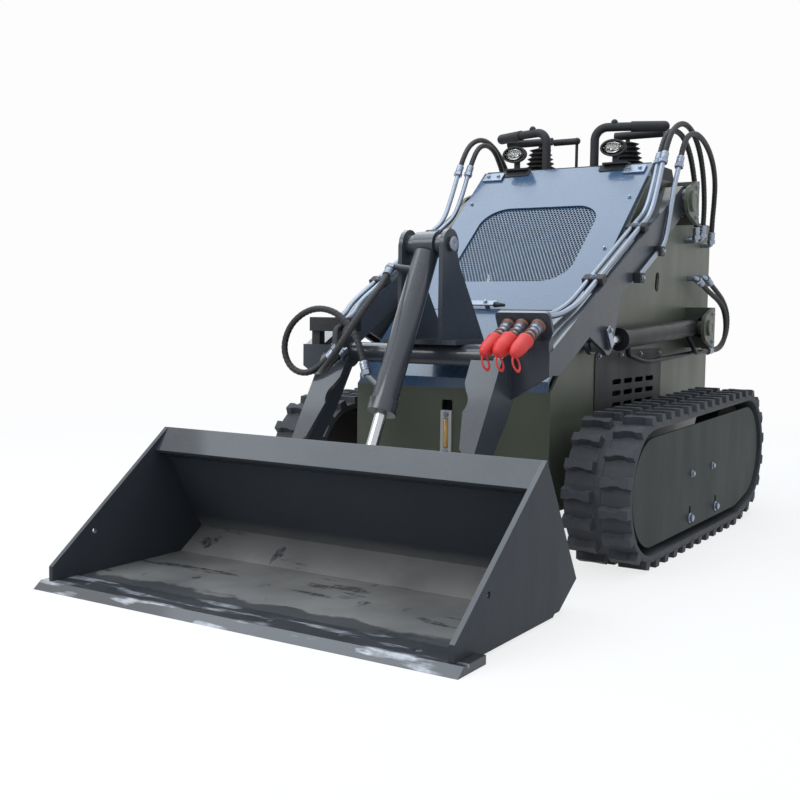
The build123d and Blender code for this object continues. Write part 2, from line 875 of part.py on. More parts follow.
with BuildPart() as tilt_rod:
    with BuildSketch(tilt_plane.offset(250)):
        Circle(tilt_rod_radius)
    extrude(amount=tilt_run - 250)
    eye(tilt_rod_y, tilt_rod_z, 0, tilt_eye_width, tilt_eye_radius, 0)
save(tilt_rod, "tilt_rod")

# Bucket: a bent wall between two side plates
back_run = hypot(bucket_top_y - bucket_heel_y, bucket_top_z - bucket_heel_z)
back_up = Vector((bucket_top_y - bucket_heel_y) / back_run, (bucket_top_z - bucket_heel_z) / back_run)
back_out = Vector(back_up.Y, -back_up.X)


def back_point(along, out):
    """A point in Y and Z, up the side plates' rear edge by along and behind it by out."""
    return (
        bucket_heel_y + along * back_up.X + out * back_out.X,
        bucket_heel_z + along * back_up.Y + out * back_out.Y,
    )


wall_out = -bucket_set_back
floor_low_z = 6
with BuildPart() as bucket_shell:
    with BuildSketch(side_face(-bucket_half_width)):
        with BuildLine() as wall_line:
            wall_path = Polyline(
                (edge_rear_y, floor_low_z),
                (-782, floor_low_z),
                back_point(16, wall_out),
                back_point(back_run - 12, wall_out),
            )
            offset(amount=bucket_wall, side=Side.LEFT, kind=Kind.INTERSECTION)
        make_face()
    extrude(amount=2 * bucket_half_width)
    with BuildSketch(side_face(-bucket_half_width)):
        with BuildLine():
            Polyline(
                (bucket_top_y, bucket_top_z),
                (-876, 295),
                (-869, 288),
                back_point(back_run - 70, wall_out - bucket_wall),
                back_point(back_run - 14, wall_out),
                close=True,
            )
        make_face()
    extrude(amount=2 * bucket_half_width)
    for plate_x in (-bucket_half_width, bucket_half_width - bucket_side_plate):
        with BuildSketch(side_face(plate_x)):
            with BuildLine():
                Polyline(
                    (bucket_top_y, bucket_top_z),
                    (bucket_front_y, 52),
                    (bucket_front_y, edge_plate),
                    (edge_rear_y, edge_plate),
                    (edge_rear_y, floor_low_z + 6),
                    (-750, floor_low_z + 6),
                    (bucket_heel_y, bucket_heel_z),
                    close=True,
                )
            make_face()
            with Locations((bucket_top_y - 12, bucket_top_z - 44), (-1080, 118)):
                Circle(7, mode=Mode.SUBTRACT)
        extrude(amount=bucket_side_plate)
save(bucket_shell, "bucket_shell")

with BuildPart() as cutting_edge:
    with BuildSketch(side_face(-edge_half_width)):
        with BuildLine():
            Polyline(
                (edge_front_y, 0),
                (edge_front_y + edge_bevel, edge_plate),
                (edge_rear_y, edge_plate),
                (edge_rear_y, 0),
                close=True,
            )
        make_face()
    extrude(amount=2 * edge_half_width)
    with BuildSketch(Plane.XY):
        with Locations((0, (edge_front_y + edge_rear_y) / 2 + 6)):
            with GridLocations(edge_hole_pitch, 1, edge_hole_count, 1):
                Circle(edge_hole_radius)
    extrude(amount=edge_plate, mode=Mode.SUBTRACT)
save(cutting_edge, "cutting_edge")

# Coupling plate on the bucket's back, with ears for the legs and the tilt rod
coupling_low = 44
coupling_high = back_run - 34
with BuildPart() as coupling:
    with BuildSketch(side_face(-coupling_half_width)):
        with BuildLine():
            Polyline(
                back_point(coupling_low, wall_out),
                back_point(coupling_high, wall_out),
                back_point(coupling_high, wall_out + coupling_plate),
                back_point(coupling_low, wall_out + coupling_plate),
                close=True,
            )
        make_face()
    extrude(amount=2 * coupling_half_width)
    for ear_x in (leg_inner_x - leg_ear_gap - tilt_ear_plate, leg_outer_x + leg_ear_gap):
        with BuildSketch(side_face(ear_x)):
            with BuildLine():
                Polyline(
                    back_point(coupling_low + 6, wall_out + coupling_plate / 2),
                    back_point(coupling_low + 150, wall_out + coupling_plate / 2),
                    (leg_pin_y, leg_pin_z + 30),
                    (leg_pin_y, leg_pin_z - 30),
                    close=True,
                )
            make_face()
            with Locations((leg_pin_y, leg_pin_z)):
                Circle(34)
        extrude(amount=tilt_ear_plate)
    with BuildSketch(side_face(leg_inner_x - 24)):
        with Locations((leg_pin_y, leg_pin_z)):
            Circle(leg_pin_radius)
    extrude(amount=leg_plate + 48)
    mirror(about=Plane.YZ)
    ear_inner_x = tilt_eye_width / 2 + tilt_ear_gap
    for ear_x in (ear_inner_x, -ear_inner_x - tilt_ear_plate):
        with BuildSketch(side_face(ear_x)):
            with BuildLine():
                Polyline(
                    back_point(120, wall_out + coupling_plate / 2),
                    back_point(coupling_high - 4, wall_out + coupling_plate / 2),
                    (tilt_rod_y + 22, tilt_rod_z + 22),
                    (tilt_rod_y + 10, tilt_rod_z - 26),
                    close=True,
                )
            make_face()
            with Locations((tilt_rod_y, tilt_rod_z)):
                Circle(30)
        extrude(amount=tilt_ear_plate)
    for head_x in (ear_inner_x + tilt_ear_plate, -ear_inner_x - tilt_ear_plate - 8):
        with BuildSketch(side_face(head_x)):
            with Locations((tilt_rod_y, tilt_rod_z)):
                Circle(20)
        extrude(amount=8)
    with BuildSketch(side_face(-ear_inner_x)):
        with BuildLine():
            Polyline(
                back_point(130, wall_out - 1),
                back_point(coupling_high - 10, wall_out - 1),
                back_point(coupling_high - 10, wall_out + coupling_plate + 1),
                back_point(130, wall_out + coupling_plate + 1),
                close=True,
            )
        make_face()
    extrude(amount=2 * ear_inner_x, mode=Mode.SUBTRACT)
save(coupling, "coupling_plate")


# Undercarriage: the loop's circles, front idler first
def loop_hull(radius):
    with Locations((idler_y, idler_z), (roller_end_y, idler_z), (sprocket_y, idler_z + sprocket_lift)):
        Circle(radius)
    make_hull()


with BuildPart() as track:
    with BuildSketch(side_face(track_inner_x + 4)) as belt_outline:
        loop_hull(belt_radius)
    extrude(amount=track_width - 8)
    with BuildSketch(side_face(track_inner_x + 4)):
        loop_hull(belt_inner_radius)
    extrude(amount=track_width - 8, mode=Mode.SUBTRACT)
    belt_path = belt_outline.sketch.face().outer_wire()
    lug_frames = []
    for column in (0, 1):
        for lug in range(track_pitch_count):
            share = (lug + 0.5 * column) / track_pitch_count
            point = belt_path @ share
            along = belt_path % share
            outward = along.cross(Vector(1, 0, 0)).normalized()
            centre = Vector(0, (idler_y + sprocket_y) / 2, idler_z)
            if outward.dot(point - centre) < 0:
                outward = outward * -1
            lug_frames.append((column, Plane(
                origin=Vector(0, point.Y, point.Z) - outward * 3, x_dir=(1, 0, 0), z_dir=outward
            )))
    for column, lug_plane in lug_frames:
        edge = track_outer_x if column else track_inner_x
        inward = -1 if column else 1
        with BuildSketch(lug_plane):
            with BuildLine():
                Polyline(
                    (edge, -lug_edge_length / 2 + lug_skew),
                    (edge, lug_edge_length / 2 + lug_skew),
                    (edge + inward * lug_reach, lug_inner_length / 2),
                    (edge + inward * lug_reach, -lug_inner_length / 2),
                    close=True,
                )
            make_face()
        extrude(amount=lug_height + 3)
    with BuildSketch(Plane.XY):
        with Locations((track_inner_x + track_width / 2, 0)):
            Rectangle(track_width + 40, 3000)
    extrude(amount=-20, mode=Mode.SUBTRACT)
save_pair(track, "track")

with BuildPart() as track_cover:
    with BuildSketch(side_face(track_outer_x - cover_inset - cover_plate)):
        loop_hull(belt_inner_radius - cover_gap)
        with Locations(*cover_slots):
            SlotOverall(52, 15, rotation=90, mode=Mode.SUBTRACT)
    extrude(amount=cover_plate)
save_both(track_cover, "track_covers")

wheel_mid_x = track_inner_x + track_width / 2
cover_inner_x = track_outer_x - cover_inset - cover_plate
with BuildPart() as undercarriage:
    with BuildSketch(side_face(wheel_mid_x - 45)):
        with Locations((idler_y, idler_z), (sprocket_y, idler_z + sprocket_lift)):
            Circle(belt_inner_radius - wheel_gap)
    extrude(amount=64)
    with BuildSketch(side_face(wheel_mid_x - 30)):
        roller_z = idler_z - belt_inner_radius + roller_radius
        with Locations(*[(idler_y + step, roller_z) for step in (190, 350, 510, 670)]):
            Circle(roller_radius - wheel_gap)
    extrude(amount=60)
    with BuildSketch(side_face(body_half_width)):
        with Locations((100, 190), (500, 190)):
            Circle(36)
    extrude(amount=wheel_mid_x - body_half_width)
    with BuildSketch(side_face(wheel_mid_x - 20)):
        with Locations((241.5, idler_z - 10)):
            Rectangle(900, 100)
        with Locations((238, 110)):
            Rectangle(560, 100)
    extrude(amount=40)
    with BuildSketch(side_face(wheel_mid_x)):
        with Locations(*cover_studs, *cover_slots):
            Circle(14)
    extrude(amount=cover_inner_x - wheel_mid_x)
save_pair(undercarriage, "undercarriage")

# Operator's platform: a flanged tread plate on two arms
with BuildPart() as platform:
    with Locations((0, (body_rear_y + platform_rear_y) / 2, platform_z - platform_plate / 2)):
        Box(2 * platform_half_width, platform_rear_y - body_rear_y, platform_plate)
    for flange_x in (platform_half_width - 4, 4 - platform_half_width):
        with Locations((flange_x, (body_rear_y + platform_rear_y) / 2, platform_z - 14)):
            Box(8, platform_rear_y - body_rear_y, 52)
    with Locations((0, platform_rear_y - 4, platform_z - 22)):
        Box(2 * platform_half_width, 8, 36)
    for arm_x in (150, -150):
        with Locations((arm_x, body_rear_y + 22, platform_z - 44)):
            Box(50, 156, 72)
save(platform, "platform")

# Zinc lines along the arms
arm_line_slope = atan2(arm_rear_top_z - 4 - arm_front_top_z, arm_pivot_y - 22 - arm_front_y)


def arm_top(y, lift):
    """Height of a line that runs above the arm's top face by lift."""
    return arm_front_top_z + (y - arm_front_y) * tan(arm_line_slope) + lift / cos(arm_line_slope)


arm_hoses = {
    "inner": [
        (331, 407, 1149),
        (331, 440, 1205),
        (334, 505, 1238),
        (340, 590, 1232),
        (345, 655, 1180),
        (345, 701, 1111),
        (344, 735, 1040),
        (342, 748, 985),
        (342, 751, 950),
    ],
    "middle": [
        (356, 383, 1149),
        (356, 416, 1205),
        (358, 478, 1246),
        (359, 555, 1262),
        (360, 640, 1242),
        (359, 712, 1192),
        (357, 762, 1122),
        (354, 790, 1048),
        (350, 804, 995),
        (348, 806, 960),
    ],
    "outer": [
        (384, 446, 1142),
        (384, 472, 1192),
        (386, 530, 1226),
        (388, 604, 1230),
        (388, 690, 1208),
        (382, 780, 1165),
        (368, 860, 1108),
        (352, 907, 1042),
        (342, 926, 985),
        (340, 930, 945),
    ],
}
line_lift = tube_radius + line_stand_off
clamp_ys = (-120, 190)
clamp_thickness = 15.4
with BuildPart() as arm_lines:
    line_ends = ((1, "inner", 265), (1, "middle", 303), (-1, "inner", 300), (-1, "middle", 330))
    for side, name, end_x in line_ends:
        line_x, top_y, top_z = arm_hoses[name][0]
        rise_y = top_y - 107
        ferrule_foot = behind(arm_hoses[name], ferrule_length)
        low_end = [
            (side * line_x, -250, arm_top(-250, line_lift)),
            (side * (line_x - 20), -330, arm_top(-330, line_lift) + 8),
            (side * end_x, -410, 650),
            (side * end_x, coupler_rear_y, 634),
        ]
        if side < 0:
            low_end = [
                (-line_x, -250, arm_top(-250, line_lift)),
                (-end_x, -330, arm_top(-330, line_lift) + 2),
                (-end_x, valve_rear_y + 34, 622),
                (-end_x, valve_rear_y, 622),
            ]
        pipe(
            [
                (side * ferrule_foot.X, ferrule_foot.Y, ferrule_foot.Z),
                (side * line_x, rise_y + 58, 1058),
                (side * line_x, rise_y, arm_top(rise_y, line_lift)),
            ]
            + low_end,
            tube_radius,
        )
        pipe(
            [(side * ferrule_foot.X, ferrule_foot.Y, ferrule_foot.Z), (side * line_x, top_y, top_z)],
            ferrule_radius,
        )
    for side in (1, -1):
        for clamp_y in clamp_ys:
            with Locations((side * arm_centre_x, clamp_y, arm_top(clamp_y, clamp_thickness / 2 + 0.3))):
                Box(54, 26, clamp_thickness, rotation=(degrees(arm_line_slope), 0, 0))
    side_line_x = arm_hoses["outer"][0][0]
    ferrule_foot = behind(arm_hoses["outer"], ferrule_length)
    pipe(
        [
            ferrule_foot,
            (side_line_x, 396, 1054),
            (side_line_x, 346, 927),
            (side_line_x, 317, 868),
            (side_line_x, 250, 836),
            (side_line_x, 130, 776),
            (side_line_x, 104, 760),
        ],
        tube_radius,
    )
    pipe([ferrule_foot, arm_hoses["outer"][0]], ferrule_radius)
    for clip_y, clip_z in ((106, 761), (270, 845)):
        with Locations((arm_outer_x + 9, clip_y, clip_z)):
            Box(18, 30, 24)
save(arm_lines, "arm_lines")

# Block on the right arm's front end, with the elbows that the tilt hoses leave from
valve_x = -270
valve_width = 146
with BuildPart() as valve_block:
    with Locations((valve_x, (valve_rear_y + valve_front_y) / 2, 620)):
        Box(valve_width, valve_rear_y - valve_front_y, 38)
    with BuildSketch(side_face(-arm_inner_x - 30)):
        with BuildLine():
            Polyline(
                (arm_front_y - 12, arm_front_top_z),
                (arm_front_y, arm_front_top_z + 0.3),
                (arm_front_y + 12, arm_front_top_z + 6.6),
                (arm_front_y + 12, 602),
                (arm_front_y - 12, 602),
                close=True,
            )
        make_face()
    extrude(amount=26)
    for start_x, route in ((-238, tilt_hose_low), (-206, tilt_hose_high)):
        before = behind(route, ferrule_length - 6)
        pipe(
            [(start_x, valve_front_y + 4, 616), (start_x, valve_front_y - 22, 606), before],
            elbow_radius,
        )
        pipe([before, route[0]], ferrule_radius)
save(valve_block, "valve_block")


def hose(route, side=1):
    """One hose along a route, on the left where side is 1."""
    radii = pipe([(side * x, y, z) for x, y, z in route], hose_radius)
    print("hose radii", [round(radius) for radius in radii])


with BuildPart() as hoses_arm_left:
    for route in arm_hoses.values():
        hose(route)
save(hoses_arm_left, "hoses_arm_left")

with BuildPart() as hoses_arm_right:
    hose(arm_hoses["inner"], -1)
    hose(arm_hoses["middle"], -1)
save(hoses_arm_right, "hoses_arm_right")

with BuildPart() as hoses_lift:
    hose(lift_hose_low)
    hose(lift_hose_high)
save_pair(hoses_lift, "hoses_lift")

with BuildPart() as hoses_tilt:
    hose(tilt_hose_low)
    hose(tilt_hose_high)
save(hoses_tilt, "hoses_tilt")

# Elbows on the body's sides, where the arm and lift hoses end
with BuildPart() as fittings:
    hose_ends = [("left", route[::-1]) for route in arm_hoses.values()]
    hose_ends += [("right", route[::-1]) for name, route in arm_hoses.items() if name != "outer"]
    for side_name in ("left", "right"):
        hose_ends += [(side_name, lift_hose_low[::-1]), (side_name, lift_hose_high[::-1])]
    for side_name, tail in hose_ends:
        side = 1 if side_name == "left" else -1
        foot = behind(tail, ferrule_length - 12)
        bend = behind(tail, ferrule_length + 8)
        start = Vector(side * tail[0][0], *tail[0][1:])
        foot.X *= side
        bend.X *= side
        pipe([foot, bend, Vector(side * body_half_width, bend.Y, bend.Z)], elbow_radius)
        pipe([start, foot], ferrule_radius)
save(fittings, "fittings")
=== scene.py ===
import bpy
import bmesh
import math
from mathutils import Matrix, Vector


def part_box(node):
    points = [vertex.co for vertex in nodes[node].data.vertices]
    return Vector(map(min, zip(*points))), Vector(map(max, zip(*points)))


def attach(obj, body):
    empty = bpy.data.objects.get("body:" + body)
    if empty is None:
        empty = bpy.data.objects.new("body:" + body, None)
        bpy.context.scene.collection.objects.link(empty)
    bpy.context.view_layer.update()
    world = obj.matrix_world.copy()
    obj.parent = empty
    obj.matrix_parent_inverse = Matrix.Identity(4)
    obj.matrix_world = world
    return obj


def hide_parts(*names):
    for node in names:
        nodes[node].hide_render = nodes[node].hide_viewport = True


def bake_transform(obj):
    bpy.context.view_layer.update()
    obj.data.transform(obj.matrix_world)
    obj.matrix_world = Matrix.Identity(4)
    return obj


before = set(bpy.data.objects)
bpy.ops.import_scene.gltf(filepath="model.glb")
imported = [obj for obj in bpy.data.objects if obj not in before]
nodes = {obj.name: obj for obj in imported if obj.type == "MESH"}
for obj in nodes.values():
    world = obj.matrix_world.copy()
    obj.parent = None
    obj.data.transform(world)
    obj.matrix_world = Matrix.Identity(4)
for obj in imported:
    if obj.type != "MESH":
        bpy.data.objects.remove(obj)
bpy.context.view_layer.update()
print("frame loaded:", len(nodes), "nodes")


def turnBy(degrees, axis):
    return Matrix.Rotation(math.radians(degrees), 4, axis)


def addObject(name, data):
    made = bpy.data.objects.new(name, data)
    bpy.context.scene.collection.objects.link(made)
    return made


# Camera at the photograph's viewing angle
cameraSettings = {
    "place": (1.51315, -2.93535, 0.65307),
    "turn": 32.33,      # degrees towards -X
    "down": 4.483,
    "roll": 0.709,
    "lens": 49.96,
    "sensor": 36,
}
cameraData = bpy.data.cameras.new("camera")
cameraData.lens = cameraSettings["lens"]
cameraData.sensor_width = cameraSettings["sensor"]
camera = addObject("camera", cameraData)
camera.matrix_world = (
    Matrix.Translation(cameraSettings["place"])
    @ turnBy(cameraSettings["turn"], "Z")
    @ turnBy(90 - cameraSettings["down"], "X")
    @ turnBy(cameraSettings["roll"], "Z")
)
bpy.context.scene.camera = camera
bpy.context.scene.view_settings.view_transform = "Standard"


# Small helpers for node trees
def newGroup(name, inputs, outputs):
    group = bpy.data.node_groups.new(name, "ShaderNodeTree")
    for socketName, kind, value in inputs:
        socket = group.interface.new_socket(socketName, in_out="INPUT", socket_type=kind)
        socket.default_value = value
    for socketName, kind in outputs:
        group.interface.new_socket(socketName, in_out="OUTPUT", socket_type=kind)
    return group, group.nodes.new("NodeGroupInput"), group.nodes.new("NodeGroupOutput")


def newMaterial(name):
    material = bpy.data.materials.new(name)
    material.use_nodes = True
    return material, material.node_tree, material.node_tree.nodes["Principled BSDF"]


def addNode(tree, kind, values=None, **settings):
    node = tree.nodes.new(kind)
    for key, value in settings.items():
        setattr(node, key, value)
    for key, value in (values or {}).items():
        node.inputs[key].default_value = value
    return node


def joinOrSet(tree, socket, value):
    if isinstance(value, bpy.types.NodeSocket):
        tree.links.new(value, socket)
    else:
        socket.default_value = value


def objectPlace(tree):
    return addNode(tree, "ShaderNodeTexCoord").outputs["Object"]


def partsOf(tree, vector):     # the X, Y and Z of a vector
    split = addNode(tree, "ShaderNodeSeparateXYZ")
    tree.links.new(vector, split.inputs[0])
    return split.outputs


def noiseOn(tree, place, scale, detail, stretch=(1, 1, 1)):
    mapping = addNode(tree, "ShaderNodeMapping", {"Scale": stretch})
    tree.links.new(place, mapping.inputs["Vector"])
    noise = addNode(tree, "ShaderNodeTexNoise", {"Scale": scale, "Detail": detail})
    tree.links.new(mapping.outputs["Vector"], noise.inputs["Vector"])
    return noise.outputs["Fac"]


def rampOn(tree, value, low, high, lowOut=0.0, highOut=1.0):
    span = {"From Min": low, "From Max": high, "To Min": lowOut, "To Max": highOut}
    ramp = addNode(tree, "ShaderNodeMapRange", span)
    tree.links.new(value, ramp.inputs["Value"])
    return ramp.outputs["Result"]


def patternOn(tree, place, pattern):     # noise of a scale, detail and stretch, cut to a range
    *noise, span = pattern
    return rampOn(tree, noiseOn(tree, place, *noise), *span)


def mathOn(tree, operation, first, second):
    node = addNode(tree, "ShaderNodeMath", operation=operation)
    joinOrSet(tree, node.inputs[0], first)
    joinOrSet(tree, node.inputs[1], second)
    return node.outputs[0]


def productOn(tree, first, *others):
    for other in others:
        first = mathOn(tree, "MULTIPLY", first, other)
    return first


def mixColour(tree, amount, first, second):
    node = addNode(tree, "ShaderNodeMix", data_type="RGBA")
    for index, value in ((0, amount), (6, first), (7, second)):
        joinOrSet(tree, node.inputs[index], value)
    return node.outputs[2]


# Dust that settles on faces that look up and in soft patches, with streaks in the gloss.
# A pattern is its noise's scale, detail and stretch, then the range it is cut to.
dustSettings = {
    "upward": (-0.2, 1.0, 0.25, 1.0),     # how far a face looks up, and the dust it then takes
    "polished": (0.0, 0.5),               # a clear coat shows where a face looks up
    "patches": (5, 6, (1, 1, 1), (0.38, 0.7)), "patchShare": 0.75,
    "specks": (90, 3, (1, 1, 1), (0.45, 0.75)), "speckShare": 0.35,
    "streaks": (14, 5, (1, 1, 0.25), (0.35, 0.75, 0.0, 0.1)),
    "dulling": 0.6,
    "grainDetail": 3,
}


def makeDustGroup():
    s = dustSettings
    group, start, end = newGroup(
        "dustedFinish",
        [
            ("Paint", "NodeSocketColor", (0.1, 0.1, 0.1, 1)),
            ("Dust", "NodeSocketColor", (0.3, 0.28, 0.25, 1)),
            ("Amount", "NodeSocketFloat", 0.3),
            ("Shine", "NodeSocketFloat", 0.3),
            ("Grain", "NodeSocketFloat", 60.0),
        ],
        [
            ("Colour", "NodeSocketColor"),
            ("Roughness", "NodeSocketFloat"),
            ("Height", "NodeSocketFloat"),
            ("Polish", "NodeSocketFloat"),
        ],
    )
    place = objectPlace(group)
    facing = partsOf(group, addNode(group, "ShaderNodeNewGeometry").outputs["Normal"])
    upward = rampOn(group, facing["Z"], *s["upward"])
    patches = productOn(group, patternOn(group, place, s["patches"]), s["patchShare"])
    specks = productOn(group, patternOn(group, place, s["specks"]), s["speckShare"])
    both = mathOn(group, "ADD", patches, specks)
    dusted = productOn(group, both, upward, start.outputs["Amount"])
    dull = mathOn(group, "ADD", start.outputs["Shine"], patternOn(group, place, s["streaks"]))
    rough = mathOn(group, "ADD", dull, productOn(group, dusted, s["dulling"]))
    fine = addNode(group, "ShaderNodeTexNoise", {"Detail": s["grainDetail"]})
    group.links.new(place, fine.inputs["Vector"])
    group.links.new(start.outputs["Grain"], fine.inputs["Scale"])
    colour = mixColour(group, dusted, start.outputs["Paint"], start.outputs["Dust"])
    group.links.new(colour, end.inputs["Colour"])
    group.links.new(rough, end.inputs["Roughness"])
    group.links.new(fine.outputs["Fac"], end.inputs["Height"])
    group.links.new(rampOn(group, facing["Z"], *s["polished"]), end.inputs["Polish"])
    return group


dustGroup = makeDustGroup()
surfaceSettings = {"relief": 0.5, "edgeSamples": 4, "coatRoughness": 0.08}


def finish(name, paint, dust=(0.3, 0.28, 0.25), amount=0.2, shine=0.35, grain=60.0,
           metal=0.0, coat=0.0, bump=0.0006, specular=0.5, edge=0.0015, clear=0.0):
    material, tree, shader = newMaterial(name)
    values = {"Paint": (*paint, 1), "Dust": (*dust, 1), "Amount": amount, "Shine": shine, "Grain": grain}
    group = addNode(tree, "ShaderNodeGroup", values, node_tree=dustGroup)
    tree.links.new(group.outputs["Colour"], shader.inputs["Base Color"])
    tree.links.new(group.outputs["Roughness"], shader.inputs["Roughness"])
    relief = addNode(tree, "ShaderNodeBump", {"Strength": surfaceSettings["relief"], "Distance": bump})
    tree.links.new(group.outputs["Height"], relief.inputs["Height"])
    if edge:     # rounded look along the edges
        samples = surfaceSettings["edgeSamples"]
        rounded = addNode(tree, "ShaderNodeBevel", {"Radius": edge}, samples=samples)
        tree.links.new(rounded.outputs["Normal"], relief.inputs["Normal"])
    tree.links.new(relief.outputs["Normal"], shader.inputs["Normal"])
    if coat:
        tree.links.new(productOn(tree, group.outputs["Polish"], coat), shader.inputs["Coat Weight"])
    shader.inputs["Metallic"].default_value = metal
    shader.inputs["Coat Roughness"].default_value = surfaceSettings["coatRoughness"]
    shader.inputs["Specular IOR Level"].default_value = specular
    shader.inputs["Transmission Weight"].default_value = clear
    return material


finishes = {
    "green": finish("olivePaint", (0.078, 0.086, 0.062), amount=0.14, shine=0.34, coat=0.3, specular=0.25),
    # The hood is gloss black. Its blue-grey base colour is a painted reflection of the pale sky, added on top
    # of the coat's real reflection.
    "hood": finish("hoodBlackWithPaintedSkyReflection", (0.042, 0.085, 0.155), amount=0.03, shine=0.24, grain=35,
                   coat=0.7, bump=0.0003),
    "black": finish("glossBlackPaint", (0.038, 0.044, 0.054), amount=0.06, shine=0.26,
                    coat=1.0, specular=0.28),
    "satin": finish("satinBlackPaint", (0.014, 0.015, 0.018), amount=0.12, shine=0.5, specular=0.3),
    "barrel": finish("barrelPaint", (0.016, 0.017, 0.02), amount=0.08, shine=0.36,
                     coat=0.2, specular=0.08),
    "cover": finish("coverPaint", (0.023, 0.029, 0.028), amount=0.1, shine=0.42, specular=0.06),
    "frame": finish("frameBlack", (0.012, 0.012, 0.013), amount=0.3, shine=0.55),
    "rubber": finish("trackRubber", (0.036, 0.038, 0.043), (0.13, 0.135, 0.14), 0.55, 0.6, 130,
                     bump=0.0015, specular=0.3),
    "hose": finish("hoseRubber", (0.012, 0.012, 0.014), amount=0.1, shine=0.45, grain=300,
                   bump=0.0004, specular=0.35, edge=0),
    "gaiter": finish("gaiterRubber", (0.014, 0.014, 0.016), amount=0.16, shine=0.5, grain=200,
                     specular=0.3),
    "zinc": finish("zincPlate", (0.27, 0.31, 0.38), (0.22, 0.22, 0.22), 0.3, 0.28, 220,
                   metal=0.9, bump=0.0003),
    "plate": finish("gaugePlate", (0.5, 0.5, 0.48), (0.25, 0.22, 0.18), 0.35, 0.35, 180,
                    metal=0.4, bump=0.0003),
    "chrome": finish("rodChrome", (0.52, 0.54, 0.57), amount=0.12, shine=0.12,
                     metal=1.0, bump=0.0001, edge=0),
    "red": finish("redCap", (0.56, 0.026, 0.024), (0.62, 0.24, 0.2), 0.25, 0.42, 90,
                  bump=0.0005, specular=0.35),
    "rust": finish("copperRing", (0.2, 0.09, 0.06), amount=0.3, shine=0.45, grain=160, metal=0.6),
    "iron": finish("castIron", (0.03, 0.03, 0.03), amount=0.3, shine=0.6, grain=120, bump=0.001),
    "grip": finish("gripFoam", (0.015, 0.015, 0.018), amount=0.1, shine=0.55, grain=400, specular=0.3),
    "amber": finish("amberGlass", (0.6, 0.33, 0.1), amount=0.15, shine=0.2, coat=0.5),
    "silver": finish("lampReflector", (0.34, 0.35, 0.35), amount=0.0, shine=0.16,
                     metal=1.0, bump=0.0002, edge=0),
    "lens": finish("lampLens", (0.9, 0.92, 0.92), amount=0.0, shine=0.04,
                   bump=0.00005, clear=1.0, edge=0),
    "diode": finish("lampDiode", (0.6, 0.5, 0.2), amount=0.05, shine=0.3, edge=0),
}

nodeFinish = {
    "chassis": "green", "front_panel": "green", "rear_panel": "green", "deck": "green",
    # The hood, its apron and its screen share the hood finish, whose blue-grey colour is a painted sky
    # reflection on gloss black.
    "pivot_brackets": "green", "lift_brackets": "green", "hood": "hood", "hood_apron": "hood",
    "vent_panels": "satin", "engine_block": "iron", "console": "satin", "work_lamps": "satin",
    "levers": "gaiter", "hand_bar": "grip", "level_gauge": "plate", "platform": "satin",
    "arm_left": "black", "arm_right": "black", "leg_left": "black", "leg_right": "black",
    "cross_tube": "black", "tilt_tower": "black", "coupler_plate": "black", "couplers": "zinc",
    "arm_lines": "zinc", "fittings": "zinc", "valve_block": "satin", "coupling_plate": "satin",
    "lift_barrel_left": "barrel", "lift_barrel_right": "barrel", "tilt_barrel": "black",
    "lift_rod_left": "chrome", "lift_rod_right": "chrome", "tilt_rod": "chrome",
    "track_covers": "cover", "undercarriage_left": "frame", "undercarriage_right": "frame",
}
for nodeName, part in nodes.items():
    part.data.materials.clear()
    part.data.materials.append(finishes[nodeFinish.get(nodeName, "rubber")])


# The bucket's floor and lower wall are dusty, with dark smears where loads slid and boots stood
bucketSettings = {
    "paint": (0.032, 0.036, 0.042), "dust": (0.245, 0.236, 0.222, 1), "smear": (0.055, 0.058, 0.064, 1),
    "insideX": 0.532, "floorZ": 0.0155, "dustTop": 0.105,
    "lipY": -1.03, "lipFade": 0.012, "lipDust": 0.2, "lipRagged": 0.11, "lipNoise": (11, 6),
    "clouds": (4, 6, (1, 1, 1), (0.3, 0.62, 0.5, 1.0)),
    "slides": (5, 3, (1, 4.5, 4.5), (0.62, 0.67)),
    "prints": (11, 3, (1.4, 1, 1), (0.66, 0.7)),
    "breaks": (130, 3, (1, 0.25, 1), (0.38, 0.55, 0.35, 1.0)),
}


def makeBucketFinish():
    s = bucketSettings
    material = finish("bucketPaint", s["paint"], amount=0.07, shine=0.32, coat=1.0, specular=0.06)
    tree = material.node_tree
    shader = tree.nodes["Principled BSDF"]
    painted = shader.inputs["Base Color"].links[0].from_socket
    place = objectPlace(tree)
    parts = partsOf(tree, place)
    inside = mathOn(tree, "LESS_THAN", mathOn(tree, "ABSOLUTE", parts["X"], 0), s["insideX"])
    low = rampOn(tree, parts["Z"], s["dustTop"], s["floorZ"])
    above = mathOn(tree, "GREATER_THAN", parts["Z"], s["floorZ"])
    cloudy = patternOn(tree, place, s["clouds"])
    marks = mathOn(tree, "MAXIMUM", patternOn(tree, place, s["slides"]), patternOn(tree, place, s["prints"]))
    broken = productOn(tree, marks, patternOn(tree, place, s["breaks"]))
    dusty = mixColour(tree, broken, s["dust"], s["smear"])
    ragged = productOn(tree, noiseOn(tree, place, *s["lipNoise"]), s["lipRagged"])
    wandering = mathOn(tree, "ADD", parts["Y"], ragged)
    behindLip = rampOn(tree, wandering, s["lipY"], s["lipY"] + s["lipFade"], s["lipDust"])
    cover = productOn(tree, inside, low, above, cloudy, behindLip)
    tree.links.new(mixColour(tree, cover, painted, dusty), shader.inputs["Base Color"])
    return material


# The cutting edge keeps dark paint with long bright scrapes in it
edgeSettings = {
    "paint": (0.04, 0.043, 0.05), "bare": (0.36, 0.37, 0.4, 1),
    "scrapes": (7, 10, (0.7, 5, 2), (0.56, 0.61)),
    "dents": (30, 4, (1, 1, 1), (0.4, 0.6, 0.4, 1.0)),
}


